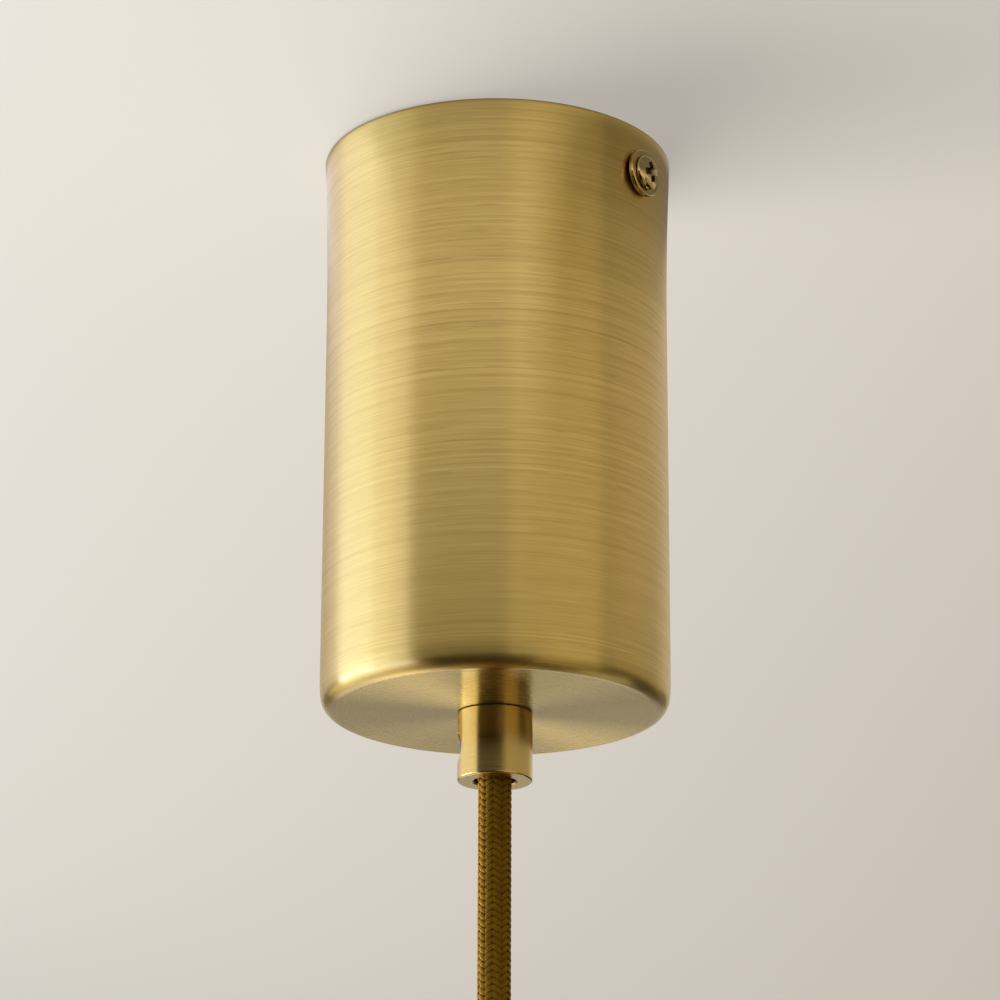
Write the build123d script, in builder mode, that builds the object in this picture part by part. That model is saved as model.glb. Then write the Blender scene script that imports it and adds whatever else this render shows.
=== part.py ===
"""Pendant light: brass cup canopy on a ceiling strap, cord grip, braided cord and lampholder.

Millimetres. The origin is the centre of the ceiling plane, +Z is up and the strap runs along X.
"""

import os
from math import cos, radians, sin

from build123d import *

os.makedirs("parts", exist_ok=True)

# Canopy cup
CUP_R = 29.75
CUP_H = 100.0
RIM_R = 30.5
FLARE_H = 30.0
WALL = 0.8
BASE_FILLET = 2.8
CUP_HOLE_R = 5.1

# Side screws, M3 with a loose washer
SCREW_Z = -8.3
SCREW_R = 1.5
SCREW_L = 8.0
HEAD_R = 3.05
HEAD_H = 2.2
WASHER_R = 4.15
WASHER_T = 1.0
WASHER_X = 30.34
TAPPED_R = 1.55
CLEAR_R = 1.8
CROSS_W = 0.8
CROSS_L = 3.4
CROSS_DEEP = 1.1

# Ceiling strap
STRAP_X = 27.4
STRAP_W = 16.0
STRAP_T = 1.5
EAR_H = 15.0
COLLAR_R = 2.7
COLLAR_L = 1.5
SLOT_X = 15.0
SLOT_L = 10.0
SLOT_W = 4.5
TONGUE_X = 9.0
TONGUE_Y = 22.0
TAB_X = 17.0
TAB_W = 8.0
TAB_Y = 17.0
EARTH_Y = 12.5

# Terminal block beside the strap
BLOCK_X = 25.0
BLOCK_Y = 14.0
BLOCK_H = 14.0
BLOCK_AT = 15.2
POLE = 8.0
POLE_Z = -9.0
INSERT_R = 2.3
INSERT_L = 12.0
WIRE_BORE_R = 1.5
CLAMP_Y = 3.2
CLAMP_R = 1.2
BLOCK_FIX_X = 4.0
BLOCK_FIX_R = 1.2

# Cord grip
GRIP_R = 6.35
GRIP_H = 11.9
GRIP_BORE_R = 3.55
GRIP_EDGE = 0.35
SPIGOT_R = 4.95
SPIGOT_H = 8.5
SET_DROP = 6.2
SET_R = 2.5
SET_HOLE_R = 2.55
SET_MOUTH_R = 2.85
SET_MOUTH_AT = 5.35
SET_OUT = 5.9
SET_ANGLE = 215.0
NUT_AF = 14.0
NUT_H = 3.5
NUT_BORE_R = 5.0
PLATE_R = 9.0
PLATE_T = 1.0

# Cord and cores
CORD_R = 2.85
BALL_R = 2.4
BALL_GAP = 0.15
TAIL_TOP = -80.0
CORE_R = 1.0
CORE_PITCH = 1.35
CORE_BEND = 4.0
HOLDER_TOP = -160.0

# Lampholder
COVER_R = 22.0
COVER_H = 58.0
HOLDER_SPIGOT_H = 13.1
TAG_T = 0.8
SOCKET_R = 18.5
CAP_TOP = -178.5
CAP_FLOOR = -184.5
CAP_BOTTOM = -194.0
CAP_BORE_R = 16.5
FLOOR_T = 6.0
SOCKET_BOTTOM = -228.0
CAVITY_R = 14.3
SHELL_R = 14.28
SHELL_BORE_R = 13.5
SHELL_TOP = -203.0
SHELL_BOTTOM = -226.0
HOLDER_CORD_BOTTOM = -187.0
HOLDER_CORE_R = 0.9

# Worked out from the above
GRIP_BOTTOM = -CUP_H - GRIP_H
PIVOT_Z = GRIP_BOTTOM
SET_Z = -CUP_H - SET_DROP
HOLDER_BASE = HOLDER_TOP - GRIP_H
HOLDER_SET_Z = HOLDER_BASE + SET_DROP
COVER_BOTTOM = HOLDER_BASE - COVER_H
NUT_Z = -CUP_H + WALL + PLATE_T
HOLDER_NUT_Z = HOLDER_BASE - WALL - TAG_T
CAVITY_TOP = CAP_BOTTOM - FLOOR_T
BLOCK_BOTTOM = -STRAP_T - BLOCK_H
HEAD_X = WASHER_X + WASHER_T
SET_DIR = (cos(radians(SET_ANGLE)), sin(radians(SET_ANGLE)), 0)


# Ceiling strap with two bent ears, slots and an earth tongue
with BuildPart() as ceiling_bracket:
    with BuildSketch(Plane.XZ) as strap_profile:
        with BuildLine():
            Polyline(
                (-STRAP_X, -EAR_H),
                (-STRAP_X, 0),
                (STRAP_X, 0),
                (STRAP_X, -EAR_H),
                (STRAP_X - STRAP_T, -EAR_H),
                (STRAP_X - STRAP_T, -STRAP_T),
                (-STRAP_X + STRAP_T, -STRAP_T),
                (-STRAP_X + STRAP_T, -EAR_H),
                close=True,
            )
        make_face()
        outer_bend = strap_profile.vertices().filter_by_position(Axis.Y, -0.1, 0.1)
        fillet(outer_bend, radius=2 * STRAP_T)
        inner_bend = strap_profile.vertices().filter_by_position(Axis.Y, -STRAP_T - 0.1, -STRAP_T + 0.1)
        fillet(inner_bend, radius=STRAP_T)
    extrude(amount=STRAP_W / 2, both=True)
    ear_corners = ceiling_bracket.edges().filter_by(Axis.X).group_by(Axis.Z)[0]
    fillet(ear_corners, radius=3.0)
    with BuildSketch(Plane.XY.offset(-STRAP_T)):
        with Locations((0, TONGUE_Y / 2)):
            Rectangle(2 * TONGUE_X, TONGUE_Y)
        with Locations((-TAB_X, TAB_Y / 2)):
            Rectangle(TAB_W, TAB_Y)
    extrude(amount=STRAP_T)
    with BuildSketch(Plane.YZ.offset(STRAP_X - STRAP_T - COLLAR_L)):
        with Locations((0, SCREW_Z)):
            Circle(COLLAR_R)
    extrude(amount=COLLAR_L)
    with BuildSketch(Plane.YZ.offset(-STRAP_X + STRAP_T)):
        with Locations((0, SCREW_Z)):
            Circle(COLLAR_R)
    extrude(amount=COLLAR_L)
    with BuildSketch(Plane.YZ.offset(-40)):
        with Locations((0, SCREW_Z)):
            Circle(TAPPED_R)
    extrude(amount=80, mode=Mode.SUBTRACT)
    with BuildSketch(Plane.XY.offset(-STRAP_T)):
        with Locations((-SLOT_X, 0), (SLOT_X, 0)):
            SlotOverall(SLOT_L, SLOT_W)
        with Locations((-TAB_X, EARTH_Y)):
            Circle(TAPPED_R)
        with Locations((-BLOCK_FIX_X, BLOCK_AT), (BLOCK_FIX_X, BLOCK_AT)):
            Circle(BLOCK_FIX_R + 0.03)
    extrude(amount=STRAP_T, mode=Mode.SUBTRACT)
ceiling_bracket.part.label = "ceiling_bracket"
export_step(ceiling_bracket.part, "parts/ceiling_bracket.step")

# Drawn cup, flared at the rim and rounded at the base
with BuildPart() as canopy_cup:
    with BuildSketch(Plane.XZ):
        with BuildLine():
            Line((CUP_HOLE_R, -CUP_H), (CUP_R - BASE_FILLET, -CUP_H))
            TangentArc(
                (CUP_R - BASE_FILLET, -CUP_H),
                (CUP_R, -CUP_H + BASE_FILLET),
                tangent=(1, 0),
            )
            Line((CUP_R, -CUP_H + BASE_FILLET), (CUP_R, -FLARE_H))
            TangentArc((CUP_R, -FLARE_H), (RIM_R, 0), tangent=(0, 1))
            Line((RIM_R, 0), (RIM_R - WALL, 0))
            TangentArc((CUP_R - WALL, -FLARE_H), (RIM_R - WALL, 0), tangent=(0, 1))
            Line((CUP_R - WALL, -FLARE_H), (CUP_R - WALL, -CUP_H + BASE_FILLET))
            TangentArc(
                (CUP_R - BASE_FILLET, -CUP_H + WALL),
                (CUP_R - WALL, -CUP_H + BASE_FILLET),
                tangent=(1, 0),
            )
            Line((CUP_R - BASE_FILLET, -CUP_H + WALL), (CUP_HOLE_R, -CUP_H + WALL))
            Line((CUP_HOLE_R, -CUP_H + WALL), (CUP_HOLE_R, -CUP_H))
        make_face()
    revolve(axis=Axis.Z)
    with BuildSketch(Plane.YZ.offset(-40)):
        with Locations((0, SCREW_Z)):
            Circle(CLEAR_R)
    extrude(amount=80, mode=Mode.SUBTRACT)
canopy_cup.part.label = "canopy_cup"
export_step(canopy_cup.part, "parts/canopy_cup.step")

# Side fixings at +X and -X
with BuildPart() as side_washer_right:
    with BuildSketch(Plane.YZ.offset(WASHER_X)):
        with Locations((0, SCREW_Z)):
            Circle(WASHER_R)
            Circle(SCREW_R + 0.1, mode=Mode.SUBTRACT)
    extrude(amount=WASHER_T)
side_washer_right.part.label = "side_washer_right"
export_step(side_washer_right.part, "parts/side_washer_right.step")

with BuildPart() as side_washer_left:
    with BuildSketch(Plane.YZ.offset(-HEAD_X)):
        with Locations((0, SCREW_Z)):
            Circle(WASHER_R)
            Circle(SCREW_R + 0.1, mode=Mode.SUBTRACT)
    extrude(amount=WASHER_T)
side_washer_left.part.label = "side_washer_left"
export_step(side_washer_left.part, "parts/side_washer_left.step")

with BuildPart() as side_screw_right:
    with BuildSketch(Plane.YZ.offset(HEAD_X)):
        with Locations((0, SCREW_Z)):
            Circle(HEAD_R)
    extrude(amount=HEAD_H)
    fillet(side_screw_right.edges().group_by(Axis.X)[-1], radius=1.5)
    with BuildSketch(Plane.YZ.offset(HEAD_X - SCREW_L)):
        with Locations((0, SCREW_Z)):
            Circle(SCREW_R)
    extrude(amount=SCREW_L)
    with BuildSketch(Plane.YZ.offset(HEAD_X + HEAD_H - CROSS_DEEP)):
        with Locations((0, SCREW_Z)):
            Rectangle(CROSS_L, CROSS_W)
            Rectangle(CROSS_W, CROSS_L)
    extrude(amount=CROSS_DEEP, mode=Mode.SUBTRACT)
side_screw_right.part.label = "side_screw_right"
export_step(side_screw_right.part, "parts/side_screw_right.step")

with BuildPart() as side_screw_left:
    with BuildSketch(Plane.YZ.offset(-HEAD_X - HEAD_H)):
        with Locations((0, SCREW_Z)):
            Circle(HEAD_R)
    extrude(amount=HEAD_H)
    fillet(side_screw_left.edges().group_by(Axis.X)[0], radius=1.5)
    with BuildSketch(Plane.YZ.offset(-HEAD_X)):
        with Locations((0, SCREW_Z)):
            Circle(SCREW_R)
    extrude(amount=SCREW_L)
    with BuildSketch(Plane.YZ.offset(-HEAD_X - HEAD_H)):
        with Locations((0, SCREW_Z)):
            Rectangle(CROSS_L, CROSS_W)
            Rectangle(CROSS_W, CROSS_L)
    extrude(amount=CROSS_DEEP, mode=Mode.SUBTRACT)
side_screw_left.part.label = "side_screw_left"
export_step(side_screw_left.part, "parts/side_screw_left.step")

# Terminal block with its wire bores, clamp holes and fixing holes
with BuildPart() as terminal_block:
    with BuildSketch(Plane.XY.offset(BLOCK_BOTTOM)):
        with Locations((0, BLOCK_AT)):
            Rectangle(BLOCK_X, BLOCK_Y)
            with GridLocations(2 * BLOCK_FIX_X, BLOCK_Y, 2, 2):
                Rectangle(1.4, 3.6, mode=Mode.SUBTRACT)
    extrude(amount=BLOCK_H)
    with BuildSketch(Plane.XZ.offset(-BLOCK_AT - BLOCK_Y / 2)):
        with Locations((-POLE, POLE_Z), (0, POLE_Z), (POLE, POLE_Z)):
            Circle(INSERT_R)
    extrude(amount=BLOCK_Y, mode=Mode.SUBTRACT)
    with BuildSketch(Plane.XY.offset(BLOCK_BOTTOM)):
        with Locations((0, BLOCK_AT)):
            with GridLocations(POLE, 2 * CLAMP_Y, 3, 2):
                Circle(1.8)
    extrude(amount=POLE_Z - BLOCK_BOTTOM, mode=Mode.SUBTRACT)
    with BuildSketch(Plane.XY.offset(BLOCK_BOTTOM)):
        with Locations((-BLOCK_FIX_X, BLOCK_AT), (BLOCK_FIX_X, BLOCK_AT)):
            Circle(BLOCK_FIX_R + 0.03)
    extrude(amount=BLOCK_H, mode=Mode.SUBTRACT)
terminal_block.part.label = "terminal_block"
export_step(terminal_block.part, "parts/terminal_block.step")

with BuildPart() as terminal_inserts:
    with BuildSketch(Plane.XZ.offset(-BLOCK_AT - INSERT_L / 2)):
        with Locations((-POLE, POLE_Z), (0, POLE_Z), (POLE, POLE_Z)):
            Circle(INSERT_R - 0.02)
            Circle(WIRE_BORE_R, mode=Mode.SUBTRACT)
    extrude(amount=INSERT_L)
    with BuildSketch(Plane.XY.offset(BLOCK_BOTTOM)):
        with Locations((0, BLOCK_AT)):
            with GridLocations(POLE, 2 * CLAMP_Y, 3, 2):
                Circle(CLAMP_R + 0.03)
    extrude(amount=POLE_Z - BLOCK_BOTTOM, mode=Mode.SUBTRACT)
terminal_inserts.part.label = "terminal_inserts"
export_step(terminal_inserts.part, "parts/terminal_inserts.step")

with BuildPart() as terminal_screws:
    with BuildSketch(Plane.XY.offset(BLOCK_BOTTOM + 0.9)):
        with Locations((0, BLOCK_AT)):
            with GridLocations(POLE, 2 * CLAMP_Y, 3, 2):
                Circle(1.7)
    extrude(amount=1.6)
    with BuildSketch(Plane.XY.offset(BLOCK_BOTTOM + 2.5)):
        with Locations((0, BLOCK_AT)):
            with GridLocations(POLE, 2 * CLAMP_Y, 3, 2):
                Circle(CLAMP_R)
    extrude(amount=2.8)
    with BuildSketch(Plane.XY.offset(BLOCK_BOTTOM + 0.9)):
        with Locations((0, BLOCK_AT)):
            with GridLocations(POLE, 2 * CLAMP_Y, 3, 2):
                Rectangle(4.0, 0.6)
    extrude(amount=0.7, mode=Mode.SUBTRACT)
terminal_screws.part.label = "terminal_screws"
export_step(terminal_screws.part, "parts/terminal_screws.step")

with BuildPart() as block_screws:
    with BuildSketch(Plane.XY.offset(BLOCK_BOTTOM - 1.4)):
        with Locations((-BLOCK_FIX_X, BLOCK_AT), (BLOCK_FIX_X, BLOCK_AT)):
            Circle(2.1)
    extrude(amount=1.4)
    with BuildSketch(Plane.XY.offset(BLOCK_BOTTOM)):
        with Locations((-BLOCK_FIX_X, BLOCK_AT), (BLOCK_FIX_X, BLOCK_AT)):
            Circle(BLOCK_FIX_R)
    extrude(amount=BLOCK_H + STRAP_T - 0.1)
    with BuildSketch(Plane.XY.offset(BLOCK_BOTTOM - 1.4)):
        with Locations((-BLOCK_FIX_X, BLOCK_AT), (BLOCK_FIX_X, BLOCK_AT)):
            Rectangle(5.0, 0.6)
    extrude(amount=0.7, mode=Mode.SUBTRACT)
block_screws.part.label = "block_screws"
export_step(block_screws.part, "parts/block_screws.step")

# Earth screw, ring lug and lead on the strap's side tab
with BuildPart() as earth_lug:
    with BuildSketch(Plane.XY.offset(-STRAP_T - TAG_T)):
        with Locations((-TAB_X, EARTH_Y)):
            Circle(3.0)
        with Locations((-TAB_X, EARTH_Y + 4.5)):
            Rectangle(2.6, 6.0)
        with Locations((-TAB_X, EARTH_Y)):
            Circle(1.65, mode=Mode.SUBTRACT)
    extrude(amount=TAG_T)
    with BuildSketch(Plane.XZ.offset(-EARTH_Y - 7.5)):
        with Locations((-TAB_X, -3.0)):
            Circle(1.45)
    extrude(amount=3.9)
    with BuildSketch(Plane.XZ.offset(-EARTH_Y - 7.5)):
        with Locations((-TAB_X, -3.0)):
            Circle(CORE_R)
    extrude(amount=3.4, mode=Mode.SUBTRACT)
earth_lug.part.label = "earth_lug"
export_step(earth_lug.part, "parts/earth_lug.step")

with BuildPart() as earth_screw:
    with BuildSketch(Plane.XY.offset(-STRAP_T - TAG_T - 1.8)):
        with Locations((-TAB_X, EARTH_Y)):
            Circle(2.75)
    extrude(amount=1.8)
    fillet(earth_screw.edges().group_by(Axis.Z)[0], radius=0.8)
    with BuildSketch(Plane.XY.offset(-STRAP_T - TAG_T)):
        with Locations((-TAB_X, EARTH_Y)):
            Circle(SCREW_R)
    extrude(amount=STRAP_T + TAG_T - 0.1)
    with BuildSketch(Plane.XY.offset(-STRAP_T - TAG_T - 1.8)):
        with Locations((-TAB_X, EARTH_Y)):
            Rectangle(3.2, 0.7)
            Rectangle(0.7, 3.2)
    extrude(amount=0.9, mode=Mode.SUBTRACT)
earth_screw.part.label = "earth_screw"
export_step(earth_screw.part, "parts/earth_screw.step")

with BuildPart() as earth_lead:
    with BuildLine() as earth_route:
        FilletPolyline(
            (-TAB_X, EARTH_Y + 4.4, -3.0),
            (-TAB_X, 21.8, -3.0),
            (-POLE, 25.4, POLE_Z),
            (-POLE, BLOCK_AT + 2.0, POLE_Z),
            radius=1.8,
        )
    with BuildSketch(Plane(origin=(-TAB_X, EARTH_Y + 4.4, -3.0), z_dir=(0, 1, 0))):
        Circle(CORE_R - 0.02)
    sweep(path=earth_route.wire())
earth_lead.part.label = "earth_lead"
export_step(earth_lead.part, "parts/earth_lead.step")

# Cord grip: turned body, threaded spigot, cord bore and a side hole for the set screw
with BuildPart() as cord_grip:
    with BuildSketch(Plane.XY.offset(GRIP_BOTTOM)):
        Circle(GRIP_R)
    extrude(amount=GRIP_H)
    fillet(cord_grip.edges().group_by(Axis.Z)[0], radius=GRIP_EDGE)
    with BuildSketch(Plane.XY.offset(-CUP_H)):
        Circle(SPIGOT_R)
    extrude(amount=SPIGOT_H)
    with BuildSketch(Plane.XY.offset(GRIP_BOTTOM)):
        Circle(GRIP_BORE_R)
    extrude(amount=GRIP_H + SPIGOT_H, mode=Mode.SUBTRACT)
    with BuildSketch(Plane(origin=(0, 0, SET_Z), x_dir=(0, 0, 1), z_dir=SET_DIR)):
        Circle(SET_HOLE_R)
    extrude(amount=10.0, mode=Mode.SUBTRACT)
    with BuildSketch(Plane(origin=(0, 0, SET_Z), x_dir=(0, 0, 1), z_dir=SET_DIR).offset(SET_MOUTH_AT)):
        Circle(SET_MOUTH_R)
    extrude(amount=5.0, mode=Mode.SUBTRACT)
cord_grip.part.label = "cord_grip"
export_step(cord_grip.part, "parts/cord_grip.step")

with BuildPart() as grip_washer:
    with BuildSketch(Plane.XY.offset(-CUP_H + WALL)):
        Circle(PLATE_R)
        Circle(NUT_BORE_R + 0.1, mode=Mode.SUBTRACT)
    extrude(amount=PLATE_T)
grip_washer.part.label = "grip_washer"
export_step(grip_washer.part, "parts/grip_washer.step")

with BuildPart() as grip_nut:
    with BuildSketch(Plane.XY.offset(NUT_Z)):
        RegularPolygon(NUT_AF / 2, 6, major_radius=False)
        Circle(NUT_BORE_R, mode=Mode.SUBTRACT)
    extrude(amount=NUT_H)
grip_nut.part.label = "grip_nut"
export_step(grip_nut.part, "parts/grip_nut.step")

with BuildPart() as grip_set_screw:
    with BuildSketch(Plane(origin=(0, 0, SET_Z), x_dir=(0, 0, 1), z_dir=SET_DIR).offset(CORD_R + 0.05)):
        Circle(SET_R)
    extrude(amount=SET_OUT - CORD_R - 0.05)
    with BuildSketch(Plane(origin=(0, 0, SET_Z), x_dir=(0, 0, 1), z_dir=SET_DIR).offset(SET_OUT - 1.1)):
        Rectangle(6.0, 0.9)
    extrude(amount=1.1, mode=Mode.SUBTRACT)
grip_set_screw.part.label = "grip_set_screw"
export_step(grip_set_screw.part, "parts/grip_set_screw.step")

# Cord stretch held by the grip, hollowed below so that the swinging cord clears it
with BuildPart() as cord_tail:
    with BuildSketch(Plane.XY.offset(PIVOT_Z + 1.3)):
        Circle(CORD_R)
    extrude(amount=TAIL_TOP - PIVOT_Z - 1.3)
    with Locations((0, 0, PIVOT_Z)):
        Sphere(BALL_R + BALL_GAP, mode=Mode.SUBTRACT)
cord_tail.part.label = "cord_tail"
export_step(cord_tail.part, "parts/cord_tail.step")

# Flexing stretch of the cord in the grip's mouth
with BuildPart() as cord_bend:
    with Locations((0, 0, PIVOT_Z)):
        Sphere(BALL_R)
cord_bend.part.label = "cord_bend"
export_step(cord_bend.part, "parts/cord_bend.step")

# Free stretch of the cord
with BuildPart() as cord:
    with BuildSketch(Plane.XY.offset(HOLDER_TOP)):
        Circle(CORD_R)
    extrude(amount=PIVOT_Z - 0.6 - HOLDER_TOP)
    with Locations((0, 0, PIVOT_Z)):
        Sphere(BALL_R + BALL_GAP, mode=Mode.SUBTRACT)
cord.part.label = "cord"
export_step(cord.part, "parts/cord.step")

# Cores from the stripped cord end to the terminal block
with BuildPart() as core_live:
    with BuildLine() as live_route:
        FilletPolyline(
            (1.2, -0.7, TAIL_TOP),
            (1.2, -0.7, -66.0),
            (POLE, CORE_PITCH, -46.0),
            (POLE, CORE_PITCH, POLE_Z),
            (POLE, BLOCK_AT - 2.0, POLE_Z),
            radius=CORE_BEND,
        )
    with BuildSketch(Plane(origin=(1.2, -0.7, TAIL_TOP), z_dir=(0, 0, 1))):
        Circle(CORE_R)
    sweep(path=live_route.wire())
core_live.part.label = "core_live"
export_step(core_live.part, "parts/core_live.step")

with BuildPart() as core_neutral:
    with BuildLine() as neutral_route:
        FilletPolyline(
            (0, CORE_PITCH, TAIL_TOP),
            (0, CORE_PITCH, POLE_Z),
            (0, BLOCK_AT - 2.0, POLE_Z),
            radius=CORE_BEND,
        )
    with BuildSketch(Plane(origin=(0, CORE_PITCH, TAIL_TOP), z_dir=(0, 0, 1))):
        Circle(CORE_R)
    sweep(path=neutral_route.wire())
core_neutral.part.label = "core_neutral"
export_step(core_neutral.part, "parts/core_neutral.step")

with BuildPart() as core_earth:
    with BuildLine() as bond_route:
        FilletPolyline(
            (-1.2, -0.7, TAIL_TOP),
            (-1.2, -0.7, -66.0),
            (-POLE, CORE_PITCH, -46.0),
            (-POLE, CORE_PITCH, POLE_Z),
            (-POLE, BLOCK_AT - 2.0, POLE_Z),
            radius=CORE_BEND,
        )
    with BuildSketch(Plane(origin=(-1.2, -0.7, TAIL_TOP), z_dir=(0, 0, 1))):
        Circle(CORE_R)
    sweep(path=bond_route.wire())
core_earth.part.label = "core_earth"
export_step(core_earth.part, "parts/core_earth.step")

# Lampholder: the same grip the other way up, on a small cup
with BuildPart() as holder_grip:
    with BuildSketch(Plane.XY.offset(HOLDER_BASE)):
        Circle(GRIP_R)
    extrude(amount=GRIP_H)
    fillet(holder_grip.edges().group_by(Axis.Z)[-1], radius=GRIP_EDGE)
    with BuildSketch(Plane.XY.offset(HOLDER_BASE - HOLDER_SPIGOT_H)):
        Circle(SPIGOT_R)
    extrude(amount=HOLDER_SPIGOT_H)
    with BuildSketch(Plane.XY.offset(HOLDER_BASE - HOLDER_SPIGOT_H)):
        Circle(GRIP_BORE_R)
    extrude(amount=GRIP_H + HOLDER_SPIGOT_H, mode=Mode.SUBTRACT)
    with BuildSketch(Plane(origin=(0, 0, HOLDER_SET_Z), x_dir=(0, 0, 1), z_dir=SET_DIR)):
        Circle(SET_HOLE_R)
    extrude(amount=10.0, mode=Mode.SUBTRACT)
    with BuildSketch(Plane(origin=(0, 0, HOLDER_SET_Z), x_dir=(0, 0, 1), z_dir=SET_DIR).offset(SET_MOUTH_AT)):
        Circle(SET_MOUTH_R)
    extrude(amount=5.0, mode=Mode.SUBTRACT)
holder_grip.part.label = "holder_grip"
export_step(holder_grip.part, "parts/holder_grip.step")

with BuildPart() as holder_set_screw:
    with BuildSketch(Plane(origin=(0, 0, HOLDER_SET_Z), x_dir=(0, 0, 1), z_dir=SET_DIR).offset(CORD_R + 0.05)):
        Circle(SET_R)
    extrude(amount=SET_OUT - CORD_R - 0.05)
    with BuildSketch(Plane(origin=(0, 0, HOLDER_SET_Z), x_dir=(0, 0, 1), z_dir=SET_DIR).offset(SET_OUT - 1.1)):
        Rectangle(6.0, 0.9)
    extrude(amount=1.1, mode=Mode.SUBTRACT)
holder_set_screw.part.label = "holder_set_screw"
export_step(holder_set_screw.part, "parts/holder_set_screw.step")

with BuildPart() as holder_cover:
    with BuildSketch(Plane.XZ):
        with BuildLine():
            Line((CUP_HOLE_R, HOLDER_BASE), (COVER_R - BASE_FILLET, HOLDER_BASE))
            TangentArc(
                (COVER_R - BASE_FILLET, HOLDER_BASE),
                (COVER_R, HOLDER_BASE - BASE_FILLET),
                tangent=(1, 0),
            )
            Line((COVER_R, HOLDER_BASE - BASE_FILLET), (COVER_R, COVER_BOTTOM))
            Line((COVER_R, COVER_BOTTOM), (COVER_R - WALL, COVER_BOTTOM))
            Line((COVER_R - WALL, COVER_BOTTOM), (COVER_R - WALL, HOLDER_BASE - BASE_FILLET))
            TangentArc(
                (COVER_R - BASE_FILLET, HOLDER_BASE - WALL),
                (COVER_R - WALL, HOLDER_BASE - BASE_FILLET),
                tangent=(1, 0),
            )
            Line((COVER_R - BASE_FILLET, HOLDER_BASE - WALL), (CUP_HOLE_R, HOLDER_BASE - WALL))
            Line((CUP_HOLE_R, HOLDER_BASE - WALL), (CUP_HOLE_R, HOLDER_BASE))
        make_face()
    revolve(axis=Axis.Z)
holder_cover.part.label = "holder_cover"
export_step(holder_cover.part, "parts/holder_cover.step")

with BuildPart() as holder_earth_tag:
    with BuildSketch(Plane.XY.offset(HOLDER_NUT_Z)):
        Circle(PLATE_R)
        with Locations((0, 10.5)):
            Rectangle(5.0, 7.0)
        Circle(NUT_BORE_R + 0.1, mode=Mode.SUBTRACT)
    extrude(amount=TAG_T)
holder_earth_tag.part.label = "holder_earth_tag"
export_step(holder_earth_tag.part, "parts/holder_earth_tag.step")

with BuildPart() as holder_nut:
    with BuildSketch(Plane.XY.offset(HOLDER_NUT_Z - NUT_H)):
        RegularPolygon(NUT_AF / 2, 6, major_radius=False)
        Circle(NUT_BORE_R, mode=Mode.SUBTRACT)
    extrude(amount=NUT_H)
holder_nut.part.label = "holder_nut"
export_step(holder_nut.part, "parts/holder_nut.step")

# Cord end inside the lampholder, and its cores
with BuildPart() as holder_cord_end:
    with BuildSketch(Plane.XY.offset(HOLDER_CORD_BOTTOM)):
        Circle(CORD_R)
    extrude(amount=HOLDER_TOP - HOLDER_CORD_BOTTOM)
holder_cord_end.part.label = "holder_cord_end"
export_step(holder_cord_end.part, "parts/holder_cord_end.step")

with BuildPart() as holder_core_live:
    with BuildLine() as holder_live_route:
        FilletPolyline(
            (1.3, -0.7, HOLDER_CORD_BOTTOM),
            (1.3, -0.7, CAP_BOTTOM + 0.95),
            (6.4, -0.7, CAP_BOTTOM + 0.95),
            radius=2.5,
        )
    with BuildSketch(Plane(origin=(1.3, -0.7, HOLDER_CORD_BOTTOM), z_dir=(0, 0, -1))):
        Circle(HOLDER_CORE_R)
    sweep(path=holder_live_route.wire())
holder_core_live.part.label = "holder_core_live"
export_step(holder_core_live.part, "parts/holder_core_live.step")

with BuildPart() as holder_core_neutral:
    with BuildLine() as holder_neutral_route:
        FilletPolyline(
            (-1.3, -0.7, HOLDER_CORD_BOTTOM),
            (-1.3, -0.7, CAP_BOTTOM + 0.95),
            (-6.4, -0.7, CAP_BOTTOM + 0.95),
            radius=2.5,
        )
    with BuildSketch(Plane(origin=(-1.3, -0.7, HOLDER_CORD_BOTTOM), z_dir=(0, 0, -1))):
        Circle(HOLDER_CORE_R)
    sweep(path=holder_neutral_route.wire())
holder_core_neutral.part.label = "holder_core_neutral"
export_step(holder_core_neutral.part, "parts/holder_core_neutral.step")

with BuildPart() as holder_core_earth:
    with BuildLine() as holder_earth_route:
        FilletPolyline(
            (0, 1.3, HOLDER_CORD_BOTTOM),
            (0, 1.3, HOLDER_CORD_BOTTOM - 2.6),
            (0, 12.0, HOLDER_CORD_BOTTOM - 2.6),
            (0, 12.0, HOLDER_NUT_Z),
            radius=2.2,
        )
    with BuildSketch(Plane(origin=(0, 1.3, HOLDER_CORD_BOTTOM), z_dir=(0, 0, -1))):
        Circle(HOLDER_CORE_R)
    sweep(path=holder_earth_route.wire())
holder_core_earth.part.label = "holder_core_earth"
export_step(holder_core_earth.part, "parts/holder_core_earth.step")

# Socket: cap screwed on the spigot, body, screw shell and contacts
with BuildPart() as socket_cap:
    with BuildSketch(Plane.XY.offset(CAP_BOTTOM)):
        Circle(SOCKET_R)
    extrude(amount=CAP_TOP - CAP_BOTTOM)
    fillet(socket_cap.edges().group_by(Axis.Z)[-1], radius=2.0)
    with BuildSketch(Plane.XY.offset(CAP_BOTTOM)):
        Circle(CAP_BORE_R)
    extrude(amount=CAP_FLOOR - CAP_BOTTOM, mode=Mode.SUBTRACT)
    with BuildSketch(Plane.XY.offset(CAP_FLOOR)):
        Circle(NUT_BORE_R)
        with Locations((0, 12.0)):
            Circle(HOLDER_CORE_R + 0.2)
    extrude(amount=CAP_TOP - CAP_FLOOR, mode=Mode.SUBTRACT)
socket_cap.part.label = "socket_cap"
export_step(socket_cap.part, "parts/socket_cap.step")

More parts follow.
